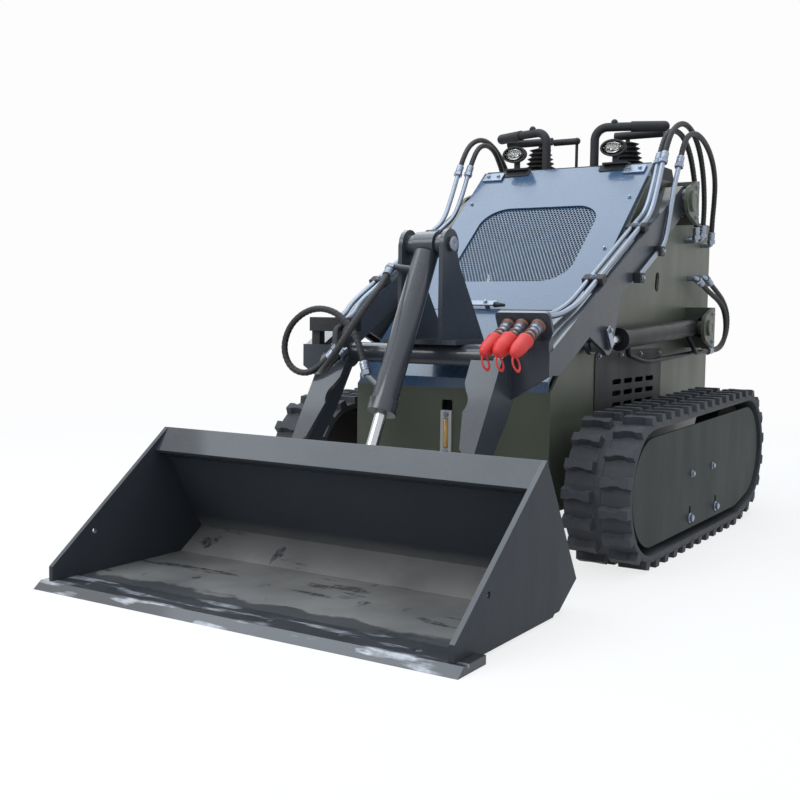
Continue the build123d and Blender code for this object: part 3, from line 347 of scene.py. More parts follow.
def makeEdgeFinish():
    s = edgeSettings
    material = finish("scrapedEdge", s["paint"], shine=0.3, grain=140, metal=0.3, coat=0.8, bump=0.0008)
    tree = material.node_tree
    place = objectPlace(tree)
    bare = productOn(tree, patternOn(tree, place, s["scrapes"]), patternOn(tree, place, s["dents"]))
    worn = mixColour(tree, bare, (*s["paint"], 1), s["bare"])
    tree.links.new(worn, tree.nodes["Principled BSDF"].inputs["Base Color"])
    return material


nodes["cutting_edge"].data.materials[0] = makeEdgeFinish()
nodes["bucket_shell"].data.materials[0] = makeBucketFinish()
print("materials placed")


# Making pieces
def meshFrom(bm, name):
    bmesh.ops.recalc_face_normals(bm, faces=bm.faces)
    mesh = bpy.data.meshes.new(name)
    bm.to_mesh(mesh)
    bm.free()
    return mesh


def addPiece(name, shape, finishName, body, smooth=True):     # from a mesh, or a bmesh that it uses up
    mesh = shape if isinstance(shape, bpy.types.Mesh) else meshFrom(shape, name)
    piece = addObject(name, mesh)
    mesh.materials.clear()
    mesh.materials.append(finishes[finishName])
    for face in mesh.polygons:
        face.use_smooth = smooth
    if body:
        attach(piece, body)
    return piece


def onlyKind(items, kind):
    return [item for item in items if isinstance(item, kind)]


def weld(bm, distance=1e-5):
    bmesh.ops.remove_doubles(bm, verts=bm.verts, dist=distance)


def placeOn(origin, axis):     # a matrix at origin whose Z runs along axis
    z = Vector(axis).normalized()
    x = Vector((1, 0, 0)) if abs(z.x) < 0.9 else Vector((0, 1, 0))
    x = (x - z * x.dot(z)).normalized()
    return Matrix.Translation(origin) @ Matrix((x, z.cross(x), z)).transposed().to_4x4()


def joinInto(bm, part, matrix):     # adds a finished shape to bm, placed by matrix
    bmesh.ops.transform(part, matrix=matrix, verts=part.verts)
    mesh = bpy.data.meshes.new("part")
    part.to_mesh(mesh)
    part.free()
    bm.from_mesh(mesh)
    bpy.data.meshes.remove(mesh)


def addTurned(bm, profile, matrix, steps=24):     # profile of (radius, height) turned about Z
    turned = bmesh.new()
    corners = [turned.verts.new((radius, 0, height)) for radius, height in profile]
    edges = [turned.edges.new(pair) for pair in zip(corners, corners[1:])]
    bmesh.ops.spin(turned, geom=corners + edges, cent=(0, 0, 0), axis=(0, 0, 1), angle=math.tau,
                   steps=steps, use_merge=True)
    weld(turned, 1e-6)
    joinInto(bm, turned, matrix)


def sized(profile, radius):     # rows of share of the radius, more or less of it, and height
    return [(radius * share + more, height) for share, more, height in profile]


def addBar(bm, start, end, radius, endRadius=None, segments=24):     # a closed bar, a hexagon with 6 segments
    start, end = Vector(start), Vector(end)
    bmesh.ops.create_cone(
        bm, cap_ends=True, segments=segments, radius1=radius, radius2=endRadius or radius,
        depth=(end - start).length, matrix=placeOn((start + end) / 2, end - start),
    )


def addBlock(bm, matrix, size, bevel):     # a block with eased edges
    made = bmesh.ops.create_cube(bm, size=1, matrix=matrix @ Matrix.Diagonal((*size, 1)))
    edges = {edge for vert in made["verts"] for edge in vert.link_edges}
    bmesh.ops.bevel(bm, geom=list(edges), offset=bevel, segments=2, profile=0.5, affect="EDGES", material=-1)


# Washer, hex head and a little of the thread, as shares of the head's radius
boltShape = {"washerRadius": 1.35, "washer": 0.2, "head": 0.75, "threadEnd": 0.95, "threadRadii": (0.8, 0.7)}


def addBolt(bm, place, axis, size):
    s = boltShape
    washer = [(0, 0), (size * s["washerRadius"], 0), (size * s["washerRadius"], size * s["washer"]),
              (0, size * s["washer"])]
    addTurned(bm, washer, placeOn(place, axis), 20)
    z = Vector(axis).normalized()
    foot = Vector(place) + z * size * s["washer"]
    head = foot + z * size * s["head"]
    wide, narrow = s["threadRadii"]
    addBar(bm, foot, head, size, segments=6)
    addBar(bm, head, foot + z * size * s["threadEnd"], size * wide, size * narrow, 18)


# Hydraulic hoses on their routes in metres, as the solids lie
hoseSettings = {"radius": 0.0088, "wrapPitch": 0.013, "wrapHeight": 0.0012, "around": 10}
armHoses = {
    "Inner": [
        (0.331, 0.407, 1.149), (0.331, 0.440, 1.205), (0.334, 0.505, 1.238), (0.340, 0.590, 1.232),
        (0.345, 0.655, 1.180), (0.345, 0.701, 1.111), (0.344, 0.735, 1.040), (0.342, 0.748, 0.985),
        (0.342, 0.751, 0.950),
    ],
    "Middle": [
        (0.356, 0.383, 1.149), (0.356, 0.416, 1.205), (0.358, 0.478, 1.246), (0.359, 0.555, 1.262),
        (0.360, 0.640, 1.242), (0.359, 0.712, 1.192), (0.357, 0.762, 1.122), (0.354, 0.790, 1.048),
        (0.350, 0.804, 0.995), (0.348, 0.806, 0.960),
    ],
    "Outer": [
        (0.384, 0.446, 1.142), (0.384, 0.472, 1.192), (0.386, 0.530, 1.226), (0.388, 0.604, 1.230),
        (0.388, 0.690, 1.208), (0.382, 0.780, 1.165), (0.368, 0.860, 1.108), (0.352, 0.907, 1.042),
        (0.342, 0.926, 0.985), (0.340, 0.930, 0.945),
    ],
}
liftHoses = {
    "Low": [
        (0.344, 0.920, 0.536), (0.346, 0.985, 0.535), (0.352, 1.048, 0.550), (0.358, 1.092, 0.598),
        (0.358, 1.094, 0.663), (0.353, 1.050, 0.711), (0.347, 0.990, 0.742), (0.340, 0.935, 0.768),
    ],
    "High": [
        (0.368, 0.876, 0.537), (0.369, 0.930, 0.538), (0.371, 0.982, 0.549), (0.372, 1.022, 0.581),
        (0.370, 1.037, 0.630), (0.366, 1.020, 0.679), (0.360, 0.976, 0.709), (0.352, 0.926, 0.728),
        (0.345, 0.880, 0.746), (0.340, 0.838, 0.764),
    ],
}
tiltHoses = {
    "Low": [
        (-0.228, -0.545, 0.532), (-0.256, -0.556, 0.500), (-0.302, -0.560, 0.486), (-0.348, -0.559, 0.506),
        (-0.370, -0.556, 0.554), (-0.356, -0.552, 0.608), (-0.318, -0.548, 0.646), (-0.268, -0.546, 0.664),
        (-0.216, -0.546, 0.658), (-0.172, -0.549, 0.634), (-0.136, -0.556, 0.600), (-0.110, -0.566, 0.562),
        (-0.092, -0.576, 0.526),
    ],
    "High": [
        (-0.198, -0.545, 0.535), (-0.195, -0.590, 0.513), (-0.180, -0.640, 0.500), (-0.148, -0.684, 0.503),
        (-0.106, -0.712, 0.524), (-0.073, -0.714, 0.566), (-0.056, -0.690, 0.612), (-0.052, -0.648, 0.654),
        (-0.055, -0.596, 0.692), (-0.062, -0.540, 0.726), (-0.069, -0.508, 0.750),
    ],
}


def routeCurve(name, route):     # the route's smooth line as a curve object
    line = bpy.data.curves.new(name, "CURVE")
    line.dimensions = "3D"
    spline = line.splines.new("NURBS")
    spline.points.add(len(route) - 1)
    for point, place in zip(spline.points, route):
        point.co = (*place, 1)
    spline.order_u = 3
    spline.use_endpoint_u = True
    line.resolution_u = 24
    return addObject(name, line)


def meshOfCurve(holder):
    bpy.context.view_layer.update()
    return bpy.data.meshes.new_from_object(holder.evaluated_get(bpy.context.evaluated_depsgraph_get()))


def makeHose(name, route, node):     # a wrapped hose between two bodies that share a joint
    s = hoseSettings
    holder = routeCurve(name + "Route", route)
    path = [vert.co.copy() for vert in meshOfCurve(holder).vertices]
    holder.data.bevel_depth = s["radius"]
    holder.data.bevel_resolution = s["around"] // 2 - 1
    tube = meshOfCurve(holder)
    bpy.data.objects.remove(holder)
    ringSize = len(tube.vertices) // len(path)
    walked = 0.0
    for index, place in enumerate(path):
        if index:
            walked += (place - path[index - 1]).length
        for corner in range(ringSize):
            vert = tube.vertices[index * ringSize + corner]
            turn = walked / s["wrapPitch"] + corner / ringSize
            groove = max(0.0, math.cos(math.tau * turn)) ** 6     # narrow groove between the wraps
            vert.co = place + (vert.co - place) * (1 - groove * s["wrapHeight"] / s["radius"])
    piece = addPiece(name, tube, "hose", None)
    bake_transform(piece)
    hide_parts(node)


# Crimped sleeve, neck and hex nut on a hose's end
sleeveSettings = {
    "profile": [
        (0.0086, 0), (0.0112, 0), (0.0119, 0.002), (0.0119, 0.008), (0.0112, 0.009), (0.0112, 0.011),
        (0.0119, 0.012), (0.0119, 0.0175), (0.0112, 0.0185), (0.0112, 0.0205), (0.0119, 0.0215),
        (0.0119, 0.024), (0.0, 0.0245),
    ],
    "neckStart": 0.024, "neckRadius": 0.0098,
    "nutStart": 0.0265, "nutLength": 0.013, "nutRadius": 0.0138,
}


def addSleeve(bm, tip, before):     # from the hose's tip, away from the point before it
    s = sleeveSettings
    tip = Vector(tip)
    along = (tip - Vector(before)).normalized()
    addTurned(bm, s["profile"], placeOn(tip, along))
    foot = tip + along * s["nutStart"]
    addBar(bm, foot, foot + along * s["nutLength"], s["nutRadius"], segments=6)
    addBar(bm, tip + along * s["neckStart"], foot, s["neckRadius"])


sleeveBodies = ("lift_arm", "root", "lift_barrel_left", "lift_barrel_right", "tilt_barrel")
sleeves = {body: bmesh.new() for body in sleeveBodies}
bothSides = (("Left", 1), ("Right", -1))
hoseSets = [     # routes, piece name, node, the body at each end, sides
    (armHoses, "armHose", "hoses_arm", "lift_arm", "root", bothSides),
    (liftHoses, "liftHose", "hoses_lift", "lift_barrel", "root", bothSides),
    (tiltHoses, "tiltHose", "hoses_tilt", "lift_arm", "tilt_barrel", (("", 1),)),
]
for routes, pieceName, node, first, second, sides in hoseSets:
    for label, route in routes.items():
        for sideName, side in sides:
            if label == "Outer" and side < 0:     # only the left side has an outer hose
                continue
            placed = [(side * x, y, z) for x, y, z in route]
            suffix = "_" + sideName.lower() if sideName else ""
            start = first + suffix if first == "lift_barrel" else first
            makeHose(pieceName + sideName + label, placed, node + suffix)
            addSleeve(sleeves[start], placed[0], placed[1])
            addSleeve(sleeves[second], placed[-1], placed[-2])
for body, bm in sleeves.items():
    name = "hoseEnds" + "".join(word.capitalize() for word in body.split("_"))
    addPiece(name, bm, "zinc", body, smooth=False)
print("hoses and their ends made")

# The hood's slope, which its screen, bolts, hinges and latch lie on
hoodSettings = {"slope": 41.3, "footY": -0.294, "footZ": 0.4784}
hoodTurn = turnBy(hoodSettings["slope"], "X")


def hoodPlace(x, along, lift=0.0):     # a point up the slope, and lifted off it
    s = hoodSettings
    slope = math.radians(s["slope"])
    return Vector((x, s["footY"] + along * math.cos(slope) - lift * math.sin(slope),
                   s["footZ"] + along * math.sin(slope) + lift * math.cos(slope)))


hoodUp = hoodPlace(0, 0, 1) - hoodPlace(0, 0)

# Perforated sheet behind the hood's window
screenSettings = {"hole": 0.0036, "pitch": 0.0108, "thickness": 0.0016, "low": 0.402, "high": 0.787,
                  "halfWidth": 0.208, "depth": 0.0055}


def makeScreen():
    s = screenSettings
    cellRadius = s["pitch"] / math.sqrt(3)
    rim = cellRadius * math.cos(math.pi / 6) - s["hole"]
    sheet = bmesh.new()
    rowStep = s["pitch"] * math.sqrt(3) / 2
    columns = int(2 * s["halfWidth"] / s["pitch"])
    for row in range(int((s["high"] - s["low"]) / rowStep)):
        shift = s["pitch"] / 2 * (row % 2) - s["halfWidth"]
        for column in range(columns):
            place = Matrix.Translation((shift + column * s["pitch"], s["low"] + row * rowStep, 0))
            bmesh.ops.create_circle(sheet, cap_ends=True, segments=6, radius=cellRadius, matrix=place)
    whole = list(sheet.faces)
    bmesh.ops.inset_individual(sheet, faces=whole, thickness=rim)
    bmesh.ops.delete(sheet, geom=whole, context="FACES")
    weld(sheet)
    bmesh.ops.solidify(sheet, geom=sheet.faces, thickness=s["thickness"])
    lie = Matrix.Translation(hoodPlace(0, 0)) @ hoodTurn @ Matrix.Translation((0, 0, -s["depth"]))
    bmesh.ops.transform(sheet, matrix=lie, verts=sheet.verts)
    # The screen takes the hood finish, so its blue-grey colour is the same painted sky reflection.
    piece = addPiece("hoodScreen", sheet, "hood", "root", smooth=False)
    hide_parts("hood_mesh")


makeScreen()
print("hood screen made")

# Rubber tracks: one belt a side round the front idler, the last roller and the sprocket
trackSettings = {
    "centres": [(-0.192, 0.200), (0.560, 0.200), (0.675, 0.222)],     # Y and Z
    "innerX": 0.380, "width": 0.180, "radius": 0.180, "belt": 0.016, "arcStep": 0.12,
    "beltEdge": [(0.004, 1.0), (0.0, 0.6), (0.002, 0.0)],     # in from the edge, share of the belt's depth
    "beltGroove": [(0.012, 0.0), (0.008, 0.003)],             # from the belt's middle, depth
    "lugEdge": [(0, 0.016), (0.018, 0.016), (0.030, 0.010), (0.052, 0.010), (0.064, 0.015), (0.080, 0.015)],
    "pitches": 40, "lugSink": 0.002, "lugHeight": 0.0215, "lugTop": (0.94, 0.8), "skew": 0.004,
}


def mirrored(halfOutline, first, second):     # a half outline and its mirror image, as one closed outline
    return halfOutline + [(x * first, y * second) for x, y in reversed(halfOutline)]


def makeTrack(name, node, side):
    s = trackSettings
    centres = [Vector((0, y, z)) for y, z in s["centres"]]
    pairs = list(zip(centres, centres[1:] + centres[:1]))
    headings = [math.atan2((b - a).z, (b - a).y) for a, b in pairs]
    turns = [(later - sooner) % math.tau for sooner, later in zip(headings, headings[1:] + headings[:1])]
    runs = [(b - a).length for a, b in pairs]
    bm = bmesh.new()
    half = s["width"] / 2
    flank = [(inset - half, -s["belt"] * share) for inset, share in s["beltEdge"]]
    flank += [(-x, -depth) for x, depth in s["beltGroove"]]
    foot = centres[0] + Vector((s["innerX"] + half, 0, -s["radius"]))
    corners = [bm.verts.new(foot + Vector((x, 0, -out))) for x, out in mirrored(flank, -1, 1)]
    section = [bm.edges.new(pair) for pair in zip(corners, corners[1:] + corners[:1])]
    for (here, there), turn in zip(pairs, turns):     # a run, then the bend round its wheel
        grown = bmesh.ops.extrude_edge_only(bm, edges=section)["geom"]
        bmesh.ops.translate(bm, verts=onlyKind(grown, bmesh.types.BMVert), vec=there - here)
        spun = bmesh.ops.spin(bm, geom=onlyKind(grown, bmesh.types.BMEdge), cent=there, axis=(1, 0, 0),
                              angle=turn, steps=max(3, int(turn / s["arcStep"])))
        section = onlyKind(spun["geom_last"], bmesh.types.BMEdge)
    weld(bm)

    def frameAt(distance):     # on the belt's outside, with Z outwards and X across
        for (here, there), heading, turn, run in zip(pairs, headings, turns, runs):
            out = heading - math.pi / 2
            if distance <= run:
                foot = here + (there - here) * (distance / run)
                break
            distance -= run
            arc = turn * s["radius"]
            if distance <= arc:
                out += distance / s["radius"]
                foot = there
                break
            distance -= arc
        outward = Vector((0, math.cos(out), math.sin(out)))
        return placeOn(foot + outward * (s["radius"] - s["lugSink"]), outward)

    total = sum(runs) + math.tau * s["radius"]
    reach = s["lugEdge"][-1][0]
    lug = bmesh.new()
    lugOutline = mirrored(s["lugEdge"], 1, -1)
    base = lug.faces.new([lug.verts.new((x, y + s["skew"] * (1 - x / reach), 0)) for x, y in lugOutline])
    grown = bmesh.ops.extrude_face_region(lug, geom=[base])["geom"]
    top = onlyKind(grown, bmesh.types.BMVert)
    bmesh.ops.translate(lug, verts=top, vec=(0, 0, s["lugHeight"]))
    bmesh.ops.scale(lug, verts=top, vec=(*s["lugTop"], 1), space=Matrix.Translation((-reach / 2, 0, 0)))
    for column, edgeX in enumerate((s["innerX"], s["innerX"] + s["width"])):     # rows half a pitch apart
        inward = Matrix.Diagonal((-1 if column else 1, 1, 1, 1))
        for index in range(s["pitches"]):
            place = frameAt((index + 0.5 * column) / s["pitches"] * total)
            joinInto(bm, lug.copy(), Matrix.Translation((edgeX, 0, 0)) @ place @ inward)
    lug.free()
    bmesh.ops.transform(bm, matrix=Matrix.Diagonal((side, 1, 1, 1)), verts=bm.verts)
    piece = addPiece(name, bm, "rubber", "root", smooth=False)
    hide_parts(node)


makeTrack("trackLeft", "track_left", 1)
makeTrack("trackRight", "track_right", -1)
print("tracks made")

# Couplers: copper rings at their feet and along them, red caps with a strap each
couplerSettings = {
    "foot": (-0.460, 0.628), "along": (0, -0.894, -0.447),
    "caps": [(0.265, 0.0192), (0.303, 0.0222), (0.346, 0.0192)],     # X and radius
    "footRing": [(0.012, 0.001), (0.0185, 0.001), (0.0195, 0.005), (0.0185, 0.011), (0.012, 0.011)],
    "bands": (0.020, 0.050, 0.066), "bandRadii": (0.012, 0.0168), "bandWidth": 0.003,
    "capProfile": [
        (0, 0.014, 0.080), (1, 0, 0.080), (1, 0.0015, 0.083), (1, 0.0015, 0.090), (1, 0, 0.093),
        (1, 0, 0.122), (0.86, 0, 0.138), (0.6, 0, 0.150), (0.4, 0, 0.155), (0, 0, 0.156),
    ],
    "strapAlong": 0.150, "strapShift": (0.004, 0.004, -0.024), "strapAxis": (0.9, -0.3, 0.3),
    "strapRadius": 0.0105, "strapThickness": 0.0024, "strapCorners": 8, "strapStretch": 1.7,
}


def makeCouplerTrim():
    s = couplerSettings
    along = Vector(s["along"])
    inner, outer = s["bandRadii"]
    thick, sides = s["strapThickness"], s["strapCorners"]
    angles = [math.tau * corner / sides for corner in range(sides + 1)]
    strap = [(s["strapRadius"] + thick * math.cos(angle), thick * math.sin(angle)) for angle in angles]
    rings, caps = bmesh.new(), bmesh.new()
    for x, width in s["caps"]:
        foot = Vector((x, *s["foot"]))
        lie = placeOn(foot, along)
        addTurned(rings, s["footRing"], lie)
        for band in s["bands"]:
            end = band + s["bandWidth"]
            addTurned(rings, [(inner, band), (outer, band), (outer, end), (inner, end)], lie)
        addTurned(caps, sized(s["capProfile"], width), lie, 32)
        middle = foot + along * s["strapAlong"] + Vector(s["strapShift"])
        stretch = Matrix.Diagonal((1.0, s["strapStretch"], 1.0, 1.0))
        addTurned(caps, strap, placeOn(middle, s["strapAxis"]) @ stretch, 20)
    addPiece("couplerRings", rings, "rust", "lift_arm")
    addPiece("couplerCaps", caps, "red", "lift_arm")


makeCouplerTrim()

# Work lamps: reflector bowls with diodes behind a clear lens
lampSettings = {
    "x": 0.173, "y": 0.424, "z": 1.181, "halfWidth": 0.037, "halfHeight": 0.021, "diodeShift": 0.0155,
    "dish": [(0, 0, 0.0002), (0.98, 0, 0.0002), (0.98, 0, 0.005), (0.9, 0, 0.0055)],
    "bowl": [(0.004, 0.0008), (0.008, 0.002), (0.0135, 0.005), (0.0145, 0.0052)],
    "diode": [(0, 0.0012), (0.0035, 0.0012), (0.003, 0.003), (0, 0.0036)],
    "lens": [(0, 0, 0.0088), (0.6, 0, 0.0082), (0.97, 0, 0.0065), (0.97, 0, 0.0056), (0, 0, 0.0062)],
}


def makeLamps():
    s = lampSettings
    bowls, diodes, lenses = bmesh.new(), bmesh.new(), bmesh.new()
    forwards = (0, -1, 0)
    for side in (1, -1):
        centre = Vector((side * s["x"], s["y"], s["z"]))
        face = placeOn(centre, forwards) @ Matrix.Diagonal((1, s["halfHeight"] / s["halfWidth"], 1, 1))
        addTurned(bowls, sized(s["dish"], s["halfWidth"]), face, 40)
        for shift in (-s["diodeShift"], s["diodeShift"]):
            spot = placeOn(centre + Vector((shift, 0, 0)), forwards)
            addTurned(bowls, s["bowl"], spot, 24)
            addTurned(diodes, s["diode"], spot, 16)
        addTurned(lenses, sized(s["lens"], s["halfWidth"]), face, 40)
    addPiece("lampBowls", bowls, "silver", "root")
    addPiece("lampDiodes", diodes, "diode", "root")
    addPiece("lampLenses", lenses, "lens", "root")


makeLamps()

# Level gauge: amber tube in its frame, with a bolt at each end
gaugeSettings = {"x": -0.005, "low": 0.262, "high": 0.388, "frontY": -0.300, "radius": 0.0062,
                 "tubeInset": 0.024, "tubeSink": 0.001, "boltInset": 0.011, "boltSize": 0.0065}


def makeGauge():
    s = gaugeSettings
    tube, bolts = bmesh.new(), bmesh.new()
    low, high = (s["low"] + s["tubeInset"], s["high"] - s["tubeInset"])
    tubeY = s["frontY"] + s["tubeSink"]
    addBar(tube, (s["x"], tubeY, low), (s["x"], tubeY, high), s["radius"])
    for z in (s["low"] + s["boltInset"], s["high"] - s["boltInset"]):
        addBolt(bolts, (s["x"], s["frontY"], z), (0, -1, 0), s["boltSize"])
    addPiece("gaugeTube", tube, "amber", "root")
    addPiece("gaugeBolts", bolts, "zinc", "root", smooth=False)


makeGauge()

# Bolts of the body, joined in one piece
boltSettings = {
    "sides": [     # face X, bolt size, places in Y and Z
        (0.5502, 0.0075, [(0.131, 0.212), (0.324, 0.214)]),     # track cover
        (0.5502, 0.0105, [(0.121, 0.087), (0.363, 0.087)]),     # slots of the track cover
        (0.3072, 0.0058, [(y, z) for y in (0.02, 0.19, 0.35, 0.52) for z in (0.366, 0.538)]),     # vents
        (0.3042, 0.005, [(0.09, 0.62), (0.09, 0.30), (0.62, 0.35)]),     # side plate
    ],
    "hoodBolts": [(x, along) for x in (-0.272, 0.272) for along in (0.31, 0.56, 0.81)], "hoodBolt": 0.0055,
    "rearInset": 0.02, "rearBolt": 0.0065,
    "hingePlace": (0.247, 0.952, 0.004), "hingeSize": (0.070, 0.038, 0.007), "hingeBevel": 0.0015,
    "hingeBolts": [(-0.018, 0, 0.0035), (0.018, 0, 0.0035)],
}


def addSideBolts(bm, side, face, size, places):
    for y, z in places:
        addBolt(bm, (side * face, y, z), (side, 0, 0), size)


def makeRootBolts():
    s = boltSettings
    bm = bmesh.new()
    for side in (1, -1):
        for boltRow in s["sides"]:
            addSideBolts(bm, side, *boltRow)
    for x, along in s["hoodBolts"]:
        addBolt(bm, hoodPlace(x, along), hoodUp, s["hoodBolt"])
    low, high = (Vector(corner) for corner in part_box("rear_panel"))
    inset = s["rearInset"]
    for x in (low.x + inset, 0, high.x - inset):
        for z in (low.z + inset, high.z - inset):
            addBolt(bm, (x, high.y, z), (0, 1, 0), s["rearBolt"])
    hingeX, along, lift = s["hingePlace"]
    for side in (1, -1):     # hinge leaves at the hood's upper corners
        lie = Matrix.Translation(hoodPlace(side * hingeX, along, lift)) @ hoodTurn
        addBlock(bm, lie, s["hingeSize"], s["hingeBevel"])
        for place in s["hingeBolts"]:
            addBolt(bm, lie @ Vector(place), hoodUp, s["hoodBolt"])
    addPiece("bodyBolts", bm, "zinc", "root", smooth=False)


# Caps over the pins in the pivot and lift brackets, and those brackets' bolts
pivotSettings = {
    "face": 0.410,
    "caps": [(0.515, 1.012, 0.0305), (0.728, 0.616, 0.0245)],     # Y, Z and radius
    "profile": [
        (1, 0, -0.007), (1, 0, -0.001), (1, -0.0015, 0.001), (1, -0.005, 0.001), (1, -0.0065, -0.0005),
        (0.4, 0, 0.0), (0, 0, 0.0005),
    ],
    "bolts": (0.4022, 0.006, [(0.56, 1.06), (0.56, 0.965), (0.772, 0.662), (0.772, 0.570)]),
}


def makePivotCaps():
    s = pivotSettings
    caps, bolts = bmesh.new(), bmesh.new()
    for side in (1, -1):
        for y, z, radius in s["caps"]:
            place = placeOn((side * s["face"], y, z), (side, 0, 0))
            addTurned(caps, sized(s["profile"], radius), place, 40)
        addSideBolts(bolts, side, *s["bolts"])
    addPiece("pivotCaps", caps, "black", "root")
    addPiece("bracketBolts", bolts, "zinc", "root", smooth=False)


# The latch at the hood's lower edge: a zinc lever with a dark grip on two posts
latchSettings = {
    "left": -0.105, "right": 0.032, "along": 0.300, "droop": 0.012, "lift": 0.016,
    "section": (0.020, 0.006), "bevel": 0.002,
    "postInsets": (0.02, 0.035), "postShift": 0.004, "postSink": 0.001, "postRadius": 0.007,
    "boltLift": 0.003, "boltSize": 0.0055,
    "gripReach": (-0.004, 0.030), "gripRadii": (0.0085, 0.004),
}


def makeLatch():
    s = latchSettings
    bar, grip = bmesh.new(), bmesh.new()
    start = hoodPlace(s["left"], s["along"], s["lift"])
    end = hoodPlace(s["right"], s["along"] - s["droop"], s["lift"])
    lie = Matrix.Translation((start + end) / 2) @ hoodTurn
    addBlock(bar, lie, ((end - start).length, *s["section"]), s["bevel"])
    leftInset, rightInset = s["postInsets"]
    along = s["along"] - s["postShift"]
    for x in (s["left"] + leftInset, s["right"] - rightInset):
        addBar(bar, hoodPlace(x, along, -s["postSink"]), hoodPlace(x, along, s["lift"]), s["postRadius"])
        addBolt(bar, hoodPlace(x, along, s["lift"] + s["boltLift"]), hoodUp, s["boltSize"])
    across = (end - start).normalized()
    gripStart, gripEnd = (end + across * reach for reach in s["gripReach"])
    addBar(grip, gripStart, gripEnd, *s["gripRadii"], 12)
    addPiece("hoodLatch", bar, "zinc", "root", smooth=False)
    addPiece("latchGrip", grip, "satin", "root")


# Loader arm trim: pin heads on the tower, flags over the lift rods' pins, clamps on the lines
armTrimSettings = {
    "slope": 27.34, "topFoot": (-0.448, 0.564),     # the arms' top face, its foot in Y and Z
    "towerPin": (0.0742, -0.413, 0.833),
    "pinHead": [(0.0195, 0), (0.0195, 0.003), (0.0175, 0.0045), (0.006, 0.0045), (0.0045, 0.003), (0, 0.003)],
    "flagPlace": (0.3835, -0.090, 0.595), "flagTurn": 35, "flagSize": (0.005, 0.024, 0.062),
    "flagBevel": 0.002, "flagBolt": (0.386, 0.007, [(-0.102, 0.614)]),
    "clampPlaces": (-0.120, 0.190), "clampX": 0.345, "clampLift": 0.0135, "clampSize": (0.060, 0.031, 0.0245),
    "clampBevel": 0.0025, "clampBolt": 0.006, "clampBoltLift": 0.0122,
    "outerPlaces": [(0.106, 0.761), (0.270, 0.845)], "outerX": 0.3865, "outerSize": (0.023, 0.034, 0.029),
    "outerBolt": 0.0058, "outerBoltX": 0.398,
}


def armTop(y):     # height of the arms' top face
    footY, footZ = armTrimSettings["topFoot"]
    return footZ + (y - footY) * math.tan(math.radians(armTrimSettings["slope"]))


def makeArmTrim():
    s = armTrimSettings
    zinc, clamps = bmesh.new(), bmesh.new()
    for side in (1, -1):
        mirror = Matrix.Diagonal((side, 1, 1))
        addTurned(zinc, s["pinHead"], placeOn(mirror @ Vector(s["towerPin"]), (side, 0, 0)), 32)
        flag = Matrix.Translation(mirror @ Vector(s["flagPlace"])) @ turnBy(s["flagTurn"], "X")
        addBlock(zinc, flag, s["flagSize"], s["flagBevel"])
        addSideBolts(zinc, side, *s["flagBolt"])
        for y in s["clampPlaces"]:
            place = (side * s["clampX"], y, armTop(y) + s["clampLift"])
            lie = Matrix.Translation(place) @ turnBy(s["slope"], "X")
            addBlock(clamps, lie, s["clampSize"], s["clampBevel"])
            top = lie @ Vector((0, 0, s["clampBoltLift"]))
            addBolt(zinc, top, lie.to_3x3() @ Vector((0, 0, 1)), s["clampBolt"])
    for y, z in s["outerPlaces"]:     # the outer line's clamps, on the left arm
        addBlock(clamps, Matrix.Translation((s["outerX"], y, z)), s["outerSize"], s["clampBevel"])
    addSideBolts(zinc, 1, s["outerBoltX"], s["outerBolt"], s["outerPlaces"])
    addPiece("armPins", zinc, "zinc", "lift_arm", smooth=False)
    addPiece("lineClamps", clamps, "satin", "lift_arm", smooth=False)


# Plough bolts in the cutting edge, dark and worn
ploughSettings = {
    "xs": (-0.45, -0.27, -0.09, 0.09, 0.27, 0.45), "y": -1.1775,
    "profile": [(0.0083, 0.002), (0.0083, 0.0165), (0.0068, 0.0175), (0.003, 0.0168), (0, 0.0168)],
}


def makeEdgeBolts():
    s = ploughSettings
    bm = bmesh.new()
    for x in s["xs"]:
        addTurned(bm, s["profile"], placeOn((x, s["y"], 0), (0, 0, 1)), 20)
    addPiece("edgeBolts", bm, "iron", "bucket")


# Raised tread bars on the operator's platform, set in alternating slants
treadSettings = {"top": 0.215, "pitch": 0.034, "inset": 0.026, "slant": 45,
                 "bar": (0.026, 0.0055, 0.0022), "bevel": 0.0009}


def makeTread():
    s = treadSettings
    low, high = (Vector(corner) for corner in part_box("platform"))
    bm = bmesh.new()
    columns = int((high.x - low.x - 2 * s["inset"]) / s["pitch"])
    rows = int((high.y - low.y - 2 * s["inset"]) / s["pitch"])
    for row in range(rows + 1):
        for column in range(columns + 1):
            x = (column - columns / 2) * s["pitch"]
            y = (low.y + high.y) / 2 + (row - rows / 2) * s["pitch"]
            slant = s["slant"] * (1 if (row + column) % 2 else -1)
            lie = Matrix.Translation((x, y, s["top"])) @ turnBy(slant, "Z")
            addBlock(bm, lie, s["bar"], s["bevel"])
    addPiece("platformTread", bm, "satin", "root", smooth=False)


makeRootBolts()
makeTread()
makePivotCaps()
makeLatch()
makeArmTrim()
makeEdgeBolts()
print("fittings made")

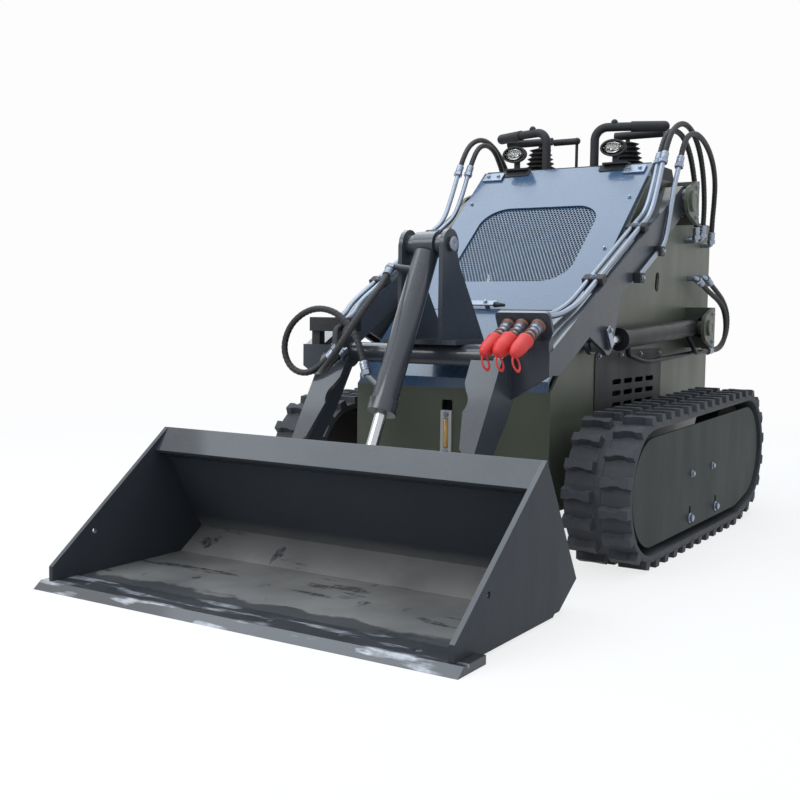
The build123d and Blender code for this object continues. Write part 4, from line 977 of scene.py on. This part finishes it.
# Floor, backdrop and light
stageSettings = {
    "floorRadius": 14, "floorColour": (0.78, 0.78, 0.78, 1), "floorRoughness": 0.9,
    "white": 0.98, "nearGlow": 0.78, "shadowReach": (1.8, 5.0),
    "sky": [     # from straight down to straight up
        (0.0, (0.3, 0.3, 0.3, 1)), (0.5, (0.38, 0.4, 0.44, 1)), (0.6, (0.7, 0.78, 0.9, 1)),
        (1.0, (0.85, 0.92, 1.0, 1)),
    ],
}
studioLamps = {
    "skyPanel": {"place": (-0.9, -0.1, 4.2), "target": (0, 0, 0.5), "size": (5.2, 5.2), "power": 150,
                 "colour": (0.78, 0.9, 1.0)},
    "frontPanel": {"place": (-1.8, -4.2, 2.9), "target": (0, -0.5, 0.3), "size": (3.0, 2.0), "power": 80},
    "sidePanel": {"place": (4.2, 1.0, 3.2), "target": (0, 0.2, 0.5), "size": (2.0, 1.6), "power": 10},
}


def seenRays(tree):     # 1 where the camera, a gloss or glass sees the backdrop
    path = addNode(tree, "ShaderNodeLightPath")
    direct = mathOn(tree, "MAXIMUM", path.outputs["Is Camera Ray"], path.outputs["Is Glossy Ray"])
    return mathOn(tree, "MAXIMUM", direct, path.outputs["Is Transmission Ray"])


def makeStage():
    s = stageSettings
    floor = bmesh.new()
    bmesh.ops.create_circle(floor, cap_ends=True, segments=64, radius=s["floorRadius"])
    ground = addObject("floor", meshFrom(floor, "floor"))
    material, tree, shader = newMaterial("paleFloor")
    shader.inputs["Base Color"].default_value = s["floorColour"]
    shader.inputs["Roughness"].default_value = s["floorRoughness"]
    glow = addNode(tree, "ShaderNodeEmission", {"Color": (1, 1, 1, 1), "Strength": s["white"]})
    spread = addNode(tree, "ShaderNodeVectorMath", operation="LENGTH")
    tree.links.new(objectPlace(tree), spread.inputs[0])
    faded = rampOn(tree, spread.outputs["Value"], *s["shadowReach"], s["nearGlow"], 1.0)
    blendNode = addNode(tree, "ShaderNodeMixShader")
    tree.links.new(productOn(tree, seenRays(tree), faded), blendNode.inputs[0])
    tree.links.new(shader.outputs[0], blendNode.inputs[1])
    tree.links.new(glow.outputs[0], blendNode.inputs[2])
    tree.links.new(blendNode.outputs[0], tree.nodes["Material Output"].inputs["Surface"])
    ground.data.materials.append(material)


def makeWorld():
    world = bpy.data.worlds.new("softSky")
    world.use_nodes = True
    tree = world.node_tree
    sky = tree.nodes["Background"]
    direction = partsOf(tree, addNode(tree, "ShaderNodeTexCoord").outputs["Generated"])
    ramp = addNode(tree, "ShaderNodeValToRGB")
    first, *between, last = stageSettings["sky"]
    for element, (position, colour) in zip(ramp.color_ramp.elements, (first, last)):
        element.position = position
        element.color = colour
    for position, colour in between:
        ramp.color_ramp.elements.new(position).color = colour
    tree.links.new(rampOn(tree, direction["Z"], -1.0, 1.0), ramp.inputs["Fac"])
    white = stageSettings["white"]
    seen = mixColour(tree, seenRays(tree), ramp.outputs["Color"], (white, white, white, 1))
    tree.links.new(seen, sky.inputs["Color"])
    sky.inputs["Strength"].default_value = 1.0
    bpy.context.scene.world = world


def addLamp(name, place, target, size, power, colour=(1, 1, 1)):
    data = bpy.data.lights.new(name, "AREA")
    data.shape = "RECTANGLE"
    data.size, data.size_y = size
    data.energy = power
    data.color = colour
    lamp = addObject(name, data)
    lamp.matrix_world = placeOn(place, Vector(place) - Vector(target))


makeStage()
makeWorld()
for name, lampValues in studioLamps.items():
    addLamp(name, **lampValues)
print("stage and light made")
